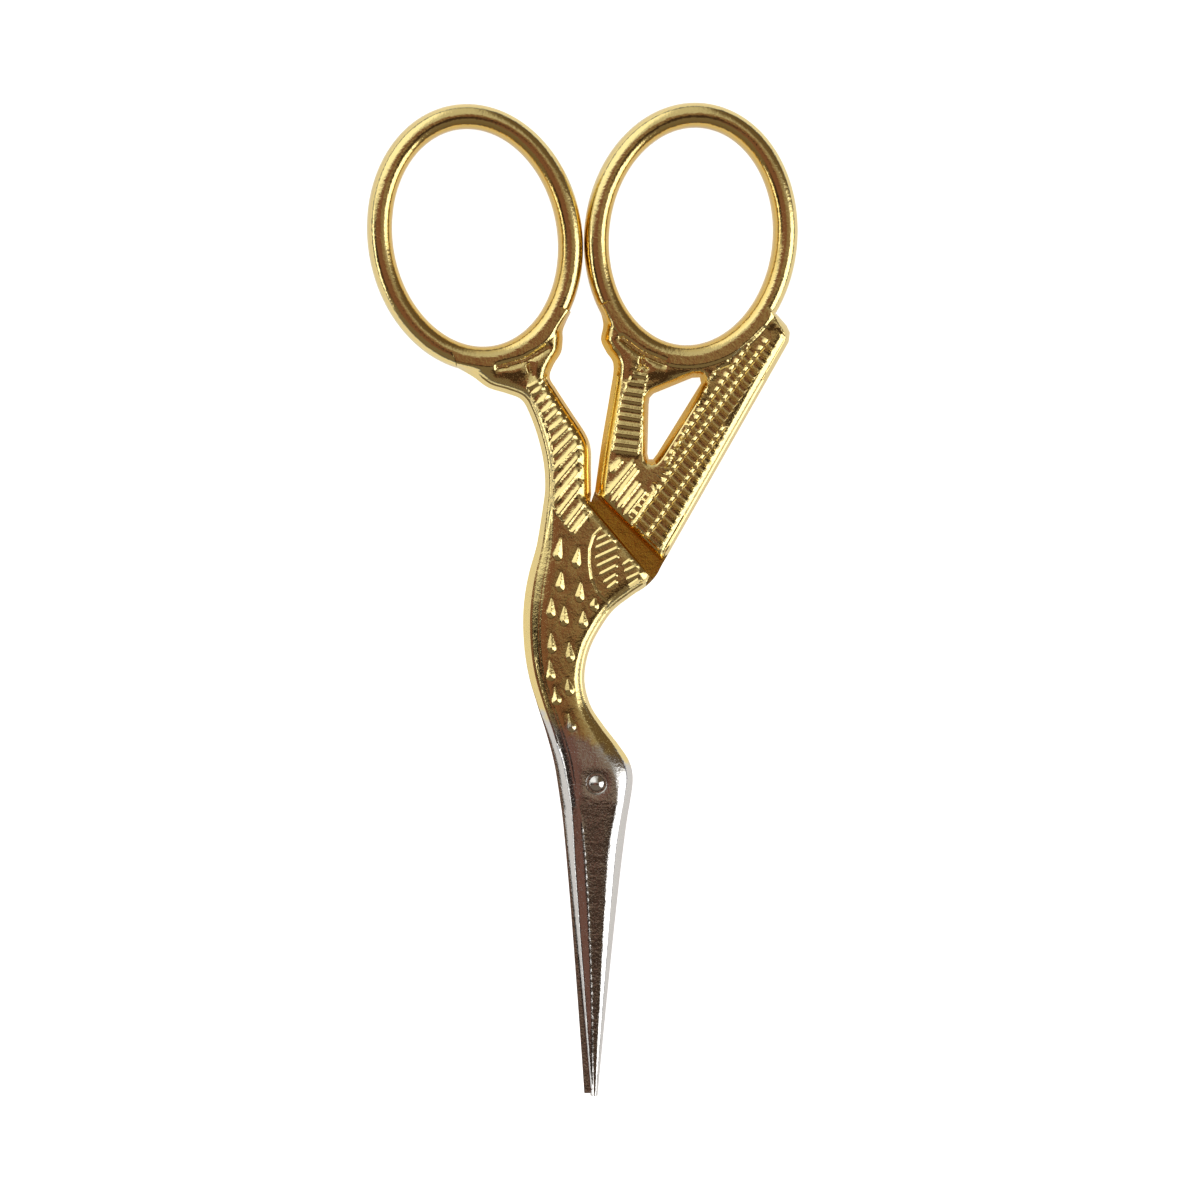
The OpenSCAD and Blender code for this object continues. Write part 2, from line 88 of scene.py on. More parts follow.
# A plate's outline on its bow's centre line: two angles and a number of points
LEFT_ARC, RIGHT_ARC = (318, 244, 60), (329, 217, 90)

# Outline points are [x, y, width of the sloping side, width of the edge chamfer], or [x, y] with SIDE
SIDE = (0.6, 0.3)
FRONT_SHIN = [
    [-14.6, 26.85, 0.2, 0.1], [-12.75, 25.8], [-10.9, 24.5], [-8.8, 23.85], [-7.1, 23.15], [-6.2, 21.7],
    [-5.2, 19], [-4.5, 16], [-4.3, 13], [-4.6, 10.4, 0.65, 0.3]]
FRONT_BELLY = [
    [-4.6, 10.4, 0.65, 0.35], [-5.3, 6.2, 0.8, 0.65], [-6.3, 2.5, 1, 0.8], [-6.82, -1.2, 1.05, 0.8],
    [-6.75, -5.2, 1, 0.7], [-6.18, -8.8, 0.9, 0.65], [-5.1, -12.3, 0.8, 0.7], [-3.85, -15.8, 0.75, 0.75],
    [-2.9, -19.2, 0.7, 0.8], [-2.12, -24, 0.7, 0.8]]
FRONT_BREAST = [
    [5.5, -24, 0.85, 0.9], [5.9, -20.9, 0.85, 0.95], [5.5, -18.8, 0.85, 0.95], [4.2, -16.8, 0.75, 0.8],
    [2.5, -14.6, 0.7, 0.6], [1, -12.3, 0.65, 0.5], [0.3, -9.6, 0.6, 0.4], [0.55, -6.9, 0.6, 0.35],
    [1.5, -4.4, 0.6, 0.35], [3.4, -1.5, 0.6, 0.35], [5.6, 0.3, 0.6, 0.35], [7.4, 1.5, 0.6, 0.35]]
FRONT_THIGH = [
    [1.05, 12.2, 0.55, 0.3], [1.03, 15], [1, 17.4], [0.45, 19.1], [-1.25, 21.7], [-2.95, 24.3],
    [-3.75, 25.7], [-3.35, 27.1], [-2.45, 28.6], [-2.25, 30.1], [-2.2, 31.3, 0.5, 0.3],
    [-1.3, 33.3, 0.2, 0.1]]
BACK_THIGH = [
    [1.9, 34, 0.2, 0.1], [2.45, 31.95, 0.5, 0.3], [2.2, 30.1], [2.8, 28.7], [3.65, 27.1], [3.2, 23.6],
    [2.25, 18], [1.5, 12.6]]
BACK_BELLY = [
    [-4.6, 10, 0.65, 0.3], [-5.3, 6.2, 0.8, 0.35], [-6.3, 2.5, 1, 0.35], [-6.82, -1.2, 1.05, 0.35],
    [-6.75, -5.2, 1, 0.4], [-6.2, -8.8, 0.9, 0.5], [-5.2, -12.2, 0.8, 0.6], [-4.1, -15.7, 0.8, 0.8],
    [-3.2, -19.2, 0.85, 0.9], [-2.45, -24, 0.85, 0.9]]
BACK_BREAST = [
    [5.15, -24, 0.7, 0.8], [5.65, -20.9, 0.7, 0.8], [5.25, -18.8, 0.7, 0.8], [4, -16.8, 0.7, 0.75],
    [2.35, -14.6, 0.7, 0.6], [0.9, -12.3, 0.65, 0.5], [0.25, -9.6, 0.6, 0.4], [0.5, -6.9, 0.6, 0.35],
    [1.45, -4.4, 0.6, 0.35], [3.35, -1.5, 0.6, 0.35], [5.55, 0.3, 0.6, 0.35], [7.4, 1.5, 0.6, 0.35],
    [8.6, 2.75, 0.6, 0.35], [9.35, 4.1, 0.6, 0.35], [10, 5.2, 0.6, 0.4]]
WING_SHOULDER = [[1.55, 12, 0.2, 0.15], [9.1, 4.5, 0.2, 0.15]]
WING_EDGE = [
    [10, 5.2, 0.6, 0.4], [24.1, 29.9, 0.6, 0.4], [24.25, 31, 0.6, 0.3], [23.85, 31.85, 0.6, 0.3],
    [22.75, 33.1, 0.3, 0.2], [22, 33.6, 0.2, 0.1]]
WINDOW = [
    [7.6, 16.9], [7.75, 16.25], [8.25, 16.25], [8.75, 16.9], [13.85, 25.1], [13.7, 25.75], [12.8, 25.7],
    [8.3, 23.85], [7.85, 23.35], [7.75, 22.6]]
WINDOW_SLOPE, WINDOW_CHAMFER = 0.5, 0.2

# Share of a face's height at which the sloping side ends and the chamfer starts
SLOPE_TO = 0.78
# Rounding at the chamfer's foot and top: a width, and at most a share of the chamfer
FOOT_R, TOP_R = (0.1, 0.4), (0.3, 0.75)
# Shares of a blade's width: on the bevel, the ridge at neck and point, the ends of flat and chamfer
BEVEL_MID, RIDGE_START, RIDGE_AT, FLAT_TO, CHAMFER_TO = 0.085, 0.197, 0.42, 0.68, 0.85
# Shares of a blade's thickness at the top of its sides, the neck's share of its length, the spine's bend
BEVEL_RISE, SPINE_SIDE, NECK_BLEND, SPINE_CURVE = 0.72, 0.75, 0.2, 0.85
# A raised line on the ridge: height, width, unevenness, and the distance over which it starts
RIDGE_LINE, RIDGE_W, RIDGE_WAVE, RIDGE_WAVES, RIDGE_FADE = 0.06, 0.08, 0.1, 7, 3
# X of a blade's left and right edges at the neck and at the point, and Y of the point
FRONT_BLADE, BACK_BLADE = ((-2.12, 5.5), (0.95, 1.8), -57.5), ((-2.45, 5.15), (0.25, 1.1), -57.2)
# Slope and chamfer of a blade's edges at the neck
CUTTING_START, SPINE_START = (0.7, 0.8), (0.85, 0.9)
# Drop of a face towards its edges, and the width over which it drops
CROWN_DROP, CROWN_REACH = 0.16, 0.9
# The height from which a face has drop and marks, and what they grow over
FACE_FROM, FACE_BLEND, NECK_FADE = 0.9, 0.5, 4
# The fillet between plate and wire: radius, the plate's height from which it grows, and over what
JOINT_R, JOINT_FROM, JOINT_BLEND, JOINT_REACH = 1, 0.6, 0.6, 0.7

# How far the face is lowered between the marks, from where and over what
LOWERED, LOWERED_LOW, LOWERED_HIGH, FIELD_BLEND = 0.16, (-20, 5), (26.6, 1.2), 0.25
# The lift of plain marks, which reach as high as the bows
RELIEF_H = CROWN_H - FACE_H + LOWERED
# Widths of ribs, rungs, toes, barbs, the tail's rim and feathers
RIB_W, RUNG_W, TOE_W, BARB_W, RIM_W, FEATHER_W = 0.7, 0.6, 0.5, 0.52, 0.34, 0.86
# Kinds of marks: lift over the lowered face, sink round it, width of sides, depth of groove, how far the crest
# lies to one side, and how much further it reaches than the part's, as shares of its length
RIB = dict(lift=0.17, skew=0.15)
RUNG = dict(lift=0.12, side=0.21, box=True, before=0.1, after=0.1)
FEATHER = dict(lift=0.13, side=0.1, groove=0.03, box=True)
TOE = dict(lift=0.2, sink=0.14, side=0.1, groove=0.06)
BARB, RIM, SMALL, DROP = dict(lift=0.17), dict(lift=0.12), dict(lift=0.1), dict(sink=0.02)
RIB_PAST = dict(before=0.08, after=-0.06)
# Dashes between them: radius, ends as shares of the pitch, and shifts
DASH_R, DASH_FROM, DASH_TO = 0.13, 0.3, 0.7
RIB_SHIFT, RUNG_SHIFTS = (-0.32, 0.02), ((-0.3, 0), (0.3, 0))
# The bead past a rib's end: radius and ends
BEAD_R, BEAD_FROM, BEAD_TO = 0.17, 0.35, 0.5
RIB_COUNT, LOW_RIB_COUNT = 14, 10
RIB_LINES = (
    [[-6.3, 24.5], [-4.85, 21.95], [-3.7, 19.3], [-3.15, 15.55], [-3.1, 10.9], [-1.2, 7.8]],
    [[-5, 25.2], [-3.65, 23.25], [-2.05, 20.75], [-0.55, 18.35], [-0.35, 14.35], [0.4, 9.85]])
RUNG_COUNT = 10
RUNG_LINES = (
    [[5.9, 25.95], [4.85, 23.75], [4.4, 21.75], [4.05, 19.45], [3.7, 17.3]],
    [[7.2, 25.75], [6.7, 23.5], [6.55, 21.4], [6.4, 19.15], [6.1, 17]])
SLANT_BARS = [
    [[3.3, 14.75], [4.45, 16.05]], [[2.85, 12.15], [5.85, 15.75]], [[3.35, 11.2], [6.3, 15.05]],
    [[4.1, 10.5], [6.45, 13.5]], [[4.85, 9.75], [7.1, 12.55]]]
LEFT_TOES, LEFT_HEEL = [[-9.8, 26.8], [-6.9, 27.6], [-4.25, 29.05]], [[-6.3, 27.15], [-6.05, 26.25]]
RIGHT_TOES, RIGHT_HEEL = [[4.5, 30.15], [6.85, 28.45], [9.35, 27.4]], [[6.85, 27.85], [6.85, 27.1]]
TAIL_RIM = [[2.05, 8.3], [1.2, 7.4], [0.75, 6], [0.7, 4.2], [0.95, 2.4], [1.7, 0.7], [2.9, -0.4]]
BARBS = [
    (7, [[1.7, 6.9], [1.5, 4.8], [2, 2.9], [2.9, 1.3]], [[3, 7.5], [4.1, 6], [3.9, 3.9], [3.9, 2.1]]),
    (4, [[4.7, 4], [5, 2.8], [5.3, 1.5]], [[5.6, 4.65], [6.6, 3.5], [6.5, 2.3]])]
# A feather drop's radii at its round end and at its tip; its bottom lies to the left by share * y + fixed
DROP_R, DROP_TIP, DROP_LEAN = 0.56, 0.13, (0.045, 0.15)
DROPS = [
    [-2.6, 7.1, 2.6], [-0.5, 5.95, 2.3], [-2.5, 3.2, 2.3], [-0.25, 2, 2.3], [-3.65, 0.15, 2.3],
    [1.35, 0.15, 1.5], [-2.15, -0.75, 2.3], [0.05, -1.35, 2], [-3.7, -3.9, 2.3], [-1.6, -4.95, 2.3],
    [-3.9, -7, 2.4], [-1.8, -9.2, 1.9], [-3.3, -10.1, 2.1], [-1.7, -13.2, 2.1]]
FEATHER_PITCH, FEATHER_GAP, FEATHER_TURN, FEATHER_MIN = 1, 0.24, -43, 0.6
# The dash at a feather's inner end: radius, half its length, and its distance from the line
END_R, END_L, END_AT = 0.18, 0.22, 0.05
FEATHER_LINES = [
    [[9.7, 16.2], [19.5, 29.9]], [[5.9, 8.9], [21.4, 30.1]], [[7.45, 7.5], [19.3, 24.2]],
    [[9.15, 5.7], [23.2, 30.35]]]
# The line at the wing's root, the bar over the window and the dots above the rungs
WING_LINE, WING_LINE_R, WING_LINE_KIND = ([5.63, 8.49], [8.38, 12.63]), 0.2, dict(lift=0.15)
WINDOW_BAR = ([15.1, 26.3], [17.4, 27.2])
DOTS, DOT_RING, DOT_ANGLES, DOT_R = (6.85, 26.65), (0.5, 0.42), (20, 80, 140, 200), 0.18
DOT = dict(lift=CROWN_H - FACE_H, sink=0.1)
# The sunk field of the wing's feathers
WING_FIELD = [
    [9.35, 5.35], [5.45, 9.05], [8.9, 14.0], [15.2, 26.35], [20.9, 31.7], [22.6, 31.9], [23.75, 30.4]]


def mix(a, b, t):
    return a + (b - a) * t


def smooth(t):
    t = np.clip(t, 0, 1)
    return t * t * (3 - 2 * t)


def bend(p, i, t):
    """A point at t from 0 to 1 between points i and i + 1 of the smooth curve through all points"""
    p0, p1, p2, p3 = p[max(i - 1, 0)], p[i], p[i + 1], p[min(i + 2, len(p) - 1)]
    return 0.5 * (
        2 * p1 + (p2 - p0) * t + (2 * p0 - 5 * p1 + 4 * p2 - p3) * t ** 2
        + (3 * p1 - p0 - 3 * p2 + p3) * t ** 3)


def line(p, i, t):
    return mix(p[i], p[i + 1], t)


def along(points, t):
    """A point at t from 0 to 1 on the smooth curve through a few points"""
    n = len(points) - 1
    i = min(int(t * n), n - 1)
    return bend(np.array(points, float), i, t * n - i)


def stepped(points, way=line, least=1):
    """Straight lines between the points, or another way, in short steps"""
    p = np.array(points, float)
    rows = []
    for i in range(len(p) - 1):
        steps = max(least, ceil(np.hypot(*(p[i + 1] - p[i])[:2]) / EDGE_STEP))
        rows += [way(p, i, t) for t in np.arange(steps) / steps]
    return np.array(rows + [p[-1]])


def spline(points):
    """The smooth curve of the part's source through every outline point"""
    return stepped([[*q, *SIDE][:4] for q in points], bend, 2)


def flat(rows):
    """Outline rows of a flat part, with the heights of the slope and of the face"""
    return columns([rows, np.full(len(rows), SLOPE_TO * FACE_H), np.full(len(rows), FACE_H)])


def blade_side(neck, tip, point, side, cutting):
    """One edge of a blade, from the neck to the point"""
    t = np.linspace(0, 1, ceil((NECK_END - point) / EDGE_STEP) + 1)
    x = mix(neck[side], tip[side], t ** (1 if cutting else SPINE_CURVE))
    other = mix(neck[1 - side], tip[1 - side], t ** (SPINE_CURVE if cutting else 1))
    w, h, g = abs(other - x), mix(FACE_H, TIP_T, t), smooth(t / NECK_BLEND)
    start = CUTTING_START if cutting else SPINE_START
    slope = mix(start[0], w * (BEVEL_MID if cutting else 1 - CHAMFER_TO), g)
    face = w * mix(RIDGE_START, RIDGE_AT, np.sqrt(t)) if cutting else mix(sum(start), w * (1 - FLAT_TO), g)
    rise = BEVEL_RISE if cutting else SPINE_SIDE
    return columns([x, mix(NECK_END, point, t), slope, face - slope, mix(SLOPE_TO, rise, g) * h, h])


def bow_at(bow, angle, inset=0.0):
    """Points on a bow's centre line, or further in on its wire"""
    centre, lean = bow
    a, l = np.radians(angle), radians(lean)
    rx, ry = HOLE_W / 2 + WIRE_W / 2, HOLE_L / 2 + WIRE_W / 2
    x, y = rx * np.cos(a), ry * np.sin(a)
    nx, ny = ry * np.cos(a), rx * np.sin(a)
    size = np.hypot(nx, ny)
    x, y = x - inset * nx / size, y - inset * ny / size
    return columns([
        centre[0] + x * cos(l) - y * sin(l), centre[1] + x * sin(l) + y * cos(l)])


def circle(radius, count):
    turn = np.radians(np.arange(count) * 360 / count)
    return PIVOT + radius * columns([np.cos(turn), np.sin(turn)])


def tree_of(points):
    tree = KDTree(len(points))
    for i, p in enumerate(points):
        tree.insert((p[0], p[1], 0), i)
    tree.balance()
    return tree


def nearest(points, chain, closed=False):
    """Distance from each point to a chain of rows, and the chain's values where it is nearest"""
    if closed:
        chain = np.vstack([chain, chain[:1]])
    tree = tree_of(chain)
    found = np.array([tree.find((p[0], p[1], 0))[1] for p in points])
    best = np.full(len(points), np.inf)
    values = np.zeros((len(points), chain.shape[1]))
    shifts = (-1, 0, 1) if not closed else (-2, -1, 0, 1)
    for shift in shifts:
        i = found + shift
        i = i % (len(chain) - 1) if closed else np.clip(i, 0, len(chain) - 2)
        a, b = chain[i], chain[i + 1]
        d = b[:, :2] - a[:, :2]
        t = ((points - a[:, :2]) * d).sum(1) / np.maximum((d ** 2).sum(1), 1e-12)
        q = a + (b - a) * np.clip(t, 0, 1)[:, None]
        away = np.hypot(*(points - q[:, :2]).T)
        take = away < best
        best[take], values[take] = away[take], q[take]
    return best, values


def inside(points, polygon):
    """Which points lie in a polygon"""
    x, y = points[:, 0], points[:, 1]
    result = np.zeros(len(points), bool)
    for (x0, y0), (x1, y1) in zip(polygon, np.roll(polygon, -1, axis=0)):
        if y0 == y1:
            continue
        crosses = (y0 > y) != (y1 > y)
        result ^= crosses & (x < x0 + (x1 - x0) * (y - y0) / (y1 - y0))
    return result


def knee(t, r):
    """0 before a bend and t after it, rounded over r on either side"""
    return np.where(t < -r, 0, np.where(t > r, t, (t + r) ** 2 / (4 * r)))


def side_height(d, slope, chamfer, slope_h, face_h):
    """Height over the mating plane at a distance from an outline"""
    first, second = slope_h / slope, (face_h - slope_h) / chamfer
    r1, r2 = (np.minimum(most, share * chamfer) for most, share in (FOOT_R, TOP_R))
    return first * d + (second - first) * knee(d - slope, r1) - second * knee(d - slope - chamfer, r2)


# A bow wire's section from its edge to its middle: how steep it is, in degrees, at distances from the edge
WIRE_AT = (0, 0.15, 0.3, 0.5, 0.75, 1, 1.25, WIRE_W / 2)
WIRE_TILT = (86, 68, 56, 42, 27, 15, 6, 0)
WIRE_D = np.linspace(0, WIRE_W / 2, 120)
WIRE_RISE = np.concatenate([[0], np.cumsum(np.tan(np.radians(np.interp(
    (WIRE_D[1:] + WIRE_D[:-1]) / 2, WIRE_AT, WIRE_TILT))))])


def bow_height(d):
    """Height of a bow's wire at a distance from its edge"""
    return CROWN_H * np.interp(d, WIRE_D, WIRE_RISE / WIRE_RISE[-1])


def resampled(loop, step):
    """A closed loop in even steps"""
    p = np.vstack([loop, loop[:1]])
    far = np.concatenate([[0], np.cumsum(np.hypot(*np.diff(p, axis=0).T))])
    at = np.linspace(0, far[-1], max(6, ceil(far[-1] / step)), endpoint=False)
    return columns([np.interp(at, far, p[:, 0]), np.interp(at, far, p[:, 1])])


# Corner radius of a box, half a groove's width, a sink's width, and the rounded share of gentle sides
MARK_CORNER, GROOVE_W, SINK_W, CREST_ROUND = 0.1, 0.09, 0.42, 0.25
# The distance between a mark's points, and its rings: where the face is sunk, and shares of its sides
MARK_STEP = 0.15
SINK_RINGS, STEEP_RINGS, GENTLE_RINGS = (-0.3, -0.12, 0), (0.5, 1), (0.22, 0.45, 0.72)
# The most that a drop tapers, as a sine
TAPER = 0.999


class Mark:
    """A raised mark from a to b: a bar with round ends of radii ra and rb, or a box with rounded corners"""

    def __init__(self, a, b, ra, rb=None, box=False, lift=RELIEF_H, sink=0.0, side=None, groove=0.0,
                 skew=0.0):
        self.a, self.b = np.array(a, float), np.array(b, float)
        self.ra, self.rb, self.box = ra, ra if rb is None else rb, box
        self.lift, self.sink, self.groove, self.skew = lift + sink, sink, groove, skew
        self.side = ra if side is None else side
        self.l = max(np.hypot(*(self.b - self.a)), 1e-6)
        self.way = (self.b - self.a) / self.l
        self.across = np.array([-self.way[1], self.way[0]])

    def local(self, p):
        q = p - self.a
        return q @ self.way, q @ self.across

    def distance(self, p):
        """Distance outside the mark's outline, less than 0 inside"""
        y, x = self.local(p)
        x = abs(x)
        if self.box:
            u = columns([abs(y - self.l / 2) - self.l / 2 + MARK_CORNER, x - self.ra + MARK_CORNER])
            return np.hypot(*np.clip(u, 0, None).T) + np.minimum(u.max(1), 0) - MARK_CORNER
        sine = min((self.ra - self.rb) / self.l, TAPER)
        cosine = sqrt(1 - sine * sine)
        k = y * cosine - x * sine
        return np.where(
            k < 0, np.hypot(x, y) - self.ra,
            np.where(
                k > cosine * self.l, np.hypot(x, y - self.l) - self.rb, x * cosine + y * sine - self.ra))

    def ring(self, d):
        """The outline moved inwards by d"""
        if self.box:
            hx, hy, c = self.ra - d, self.l / 2 - d, max(MARK_CORNER - d, 0)
            if min(hx, hy) <= 0:
                return np.zeros((0, 2))
            corners = [(hx, hy, 0), (-hx, hy, 90), (-hx, -hy, 180), (hx, -hy, 270)]
            turn = np.radians(np.arange(0, 91, 30))
            loop = np.array([
                (x - copysign(c, x) + c * cos(a + radians(t)),
                 y - copysign(c, y) + c * sin(a + radians(t)) + self.l / 2)
                for x, y, t in corners for a in turn])
        else:
            if d >= self.ra:
                return np.zeros((0, 2))
            start = 0 if d <= self.rb else self.l * (d - self.rb) / (self.ra - self.rb)
            l, ra, rb = self.l - start, self.ra - d, max(self.rb - d, 0)
            tilt = degrees(asin(min((ra - rb) / l, TAPER)))
            low = np.radians(np.linspace(180 - tilt, 360 + tilt, 14))
            top = np.radians(np.linspace(tilt, 180 - tilt, 8))
            loop = np.vstack([
                columns([ra * np.cos(low), ra * np.sin(low)]),
                columns([rb * np.cos(top), l + rb * np.sin(top)])])
        x, y = resampled(loop, MARK_STEP).T
        return self.a + np.outer(y, self.way) + np.outer(x, self.across)

    def mesh_points(self):
        rows = [self.ring(d) for d in (SINK_RINGS if self.sink else (0,))]
        shares = STEEP_RINGS if self.side < self.ra else GENTLE_RINGS
        rows += [self.ring(self.side * share) for share in shares]
        n = max(2, ceil(self.l / MARK_STEP))
        middle = self.a + np.outer(np.linspace(0, 1, n + 1), self.b - self.a)
        rows.append(middle)
        if self.skew:
            rows.append(middle - self.across * self.skew * self.ra)
        if self.groove:
            rows += [middle[1:-1] + self.across * GROOVE_W, middle[1:-1] - self.across * GROOVE_W]
        return np.vstack(rows)


def raised(marks, p):
    """How far marks lift the face, or their surroundings lower it, at each point"""
    rise, sunk = np.zeros(len(p)), np.zeros(len(p))
    for m in marks:
        far = max(m.ra, m.rb) + 0.5
        low, high = np.minimum(m.a, m.b) - far, np.maximum(m.a, m.b) + far
        k = np.flatnonzero(((p > low) & (p < high)).all(1))
        if not len(k):
            continue
        d = m.distance(p[k])
        _, x = m.local(p[k])
        t = np.clip(-d / m.side / (1 - m.skew), 0, 1)
        if m.skew:
            t = np.clip(t, 0, (1 - x / m.ra) / (1 + m.skew))
        if m.side < m.ra:
            t = smooth(t)
        elif m.ra <= m.rb:
            t = (1 - CREST_ROUND) * t + CREST_ROUND * np.sin(t * pi / 2)
        up = m.lift * t
        if m.groove:
            up = up - m.groove * np.clip(1 - abs(x) / GROOVE_W, 0, 1) * smooth(-d / m.side - 1)
        rise[k] = np.maximum(rise[k], up)
        sunk[k] = np.maximum(sunk[k], m.sink * smooth(1 - d / SINK_W))
    return rise - sunk


def bar_mark(a, b, w, **kind):
    """A bar as long as the part's: its ends reach a quarter of its width past a and b"""
    a, b = np.array(a, float), np.array(b, float)
    way = (b - a) / np.hypot(*(b - a))
    past = w / 4 if kind.get("box") else -w / 4
    return Mark(a - way * past, b + way * past, w / 2, **kind)


def strip_marks(points, w, **kind):
    return [Mark(a, b, w / 2, **kind) for a, b in zip(points[:-1], points[1:])]


def ladder(first, last, count, w, only=None, before=0.0, after=0.0, **kind):
    """Evenly spaced bars between two curves, longer than the part's by shares of their length"""
    marks = []
    for i in range(only or count):
        a, b = along(first, i / (count - 1)), along(last, i / (count - 1))
        marks.append(bar_mark(a - (b - a) * before, b + (b - a) * after, w, **kind))
    return marks


def dashes(curve, count, only, shift):
    """Short dashes between the ends of a ladder's bars"""
    marks = []
    for i in range(only - 1):
        a, b = (along(curve, (i + share) / (count - 1)) + np.array(shift) for share in (DASH_FROM, DASH_TO))
        marks.append(Mark(a, b, DASH_R, **SMALL))
    return marks



def left_leg_marks(ribs):
    marks = ladder(*RIB_LINES, RIB_COUNT, RIB_W, ribs, **RIB_PAST, **RIB)
    marks += dashes(RIB_LINES[0], RIB_COUNT, ribs, RIB_SHIFT)
    for i in range(ribs):
        a, b = (along(curve, i / (RIB_COUNT - 1)) for curve in RIB_LINES)
        way = (b - a) / np.hypot(*(b - a))
        marks.append(Mark(b + way * BEAD_FROM, b + way * BEAD_TO, BEAD_R, **SMALL))
    marks += strip_marks(LEFT_TOES, TOE_W, **TOE)
    return marks + [bar_mark(*LEFT_HEEL, TOE_W, **TOE)]


def body_marks():
    marks = []
    for x, y, l in DROPS:
        lean = DROP_LEAN[0] * y + DROP_LEAN[1]
        way = np.array([lean, l]) / hypot(lean, l)
        tip, low = np.array([x, y]), np.array([x - lean, y - l])
        marks.append(Mark(low + way * DROP_R, tip - way * DROP_TIP, DROP_R, DROP_TIP, **DROP))
    marks += strip_marks(TAIL_RIM, RIM_W, **RIM)
    for count, first, last in BARBS:
        marks += ladder(first, last, count, BARB_W, **BARB)
    return marks


def reach(p, ends):
    """How far it is from p along a feather to the line between two ends"""
    (x0, y0), (x1, y1) = ends
    dx, dy = x1 - x0, y1 - y0
    turn = radians(FEATHER_TURN)
    return ((x0 - p[0]) * dy - (y0 - p[1]) * dx) / (cos(turn) * dy - sin(turn) * dx)


def feather_row(first, lasts):
    """A row of feathers from a line to the nearest of others, with a dash at the inner end of each"""
    marks = []
    a, b = np.array(first, float)
    turn = radians(FEATHER_TURN)
    way = np.array([cos(turn), sin(turn)])
    run = (b - a) / np.hypot(*(b - a))
    for s in np.arange(0, np.hypot(*(b - a)), FEATHER_PITCH):
        start = a + run * s
        l = min(reach(start, last) for last in lasts) - FEATHER_GAP
        if l > FEATHER_MIN:
            marks.append(bar_mark(
                start + way * (FEATHER_GAP + FEATHER_W / 4), start + way * (l - FEATHER_W / 4), FEATHER_W,
                **FEATHER))
            dash = start - way * END_AT
            marks.append(Mark(dash - run * END_L, dash + run * END_L, END_R, **SMALL))
    return marks


def wing_marks():
    marks = ladder(*RUNG_LINES, RUNG_COUNT, RUNG_W, **RUNG)
    for curve, shift in zip(RUNG_LINES, RUNG_SHIFTS):
        marks += dashes(curve, RUNG_COUNT, RUNG_COUNT, shift)
    marks += [bar_mark(*ends, RIB_W, **RIB) for ends in SLANT_BARS]
    marks += strip_marks(RIGHT_TOES, TOE_W, **TOE)
    marks.append(bar_mark(*RIGHT_HEEL, TOE_W, **TOE))
    for i, ends in ((0, (1,)), (1, (2, 3)), (2, (3,))):
        marks += feather_row(FEATHER_LINES[i], [FEATHER_LINES[j] for j in ends])
    marks.append(Mark(*WING_LINE, WING_LINE_R, **WING_LINE_KIND))
    for a in map(radians, DOT_ANGLES):
        q = [DOTS[0] + DOT_RING[0] * cos(a), DOTS[1] + DOT_RING[1] * sin(a)]
        marks.append(Mark(q, [q[0] + 0.02, q[1]], DOT_R, **DOT))
    marks.append(Mark(*WINDOW_BAR, DASH_R, **RIM))
    return marks


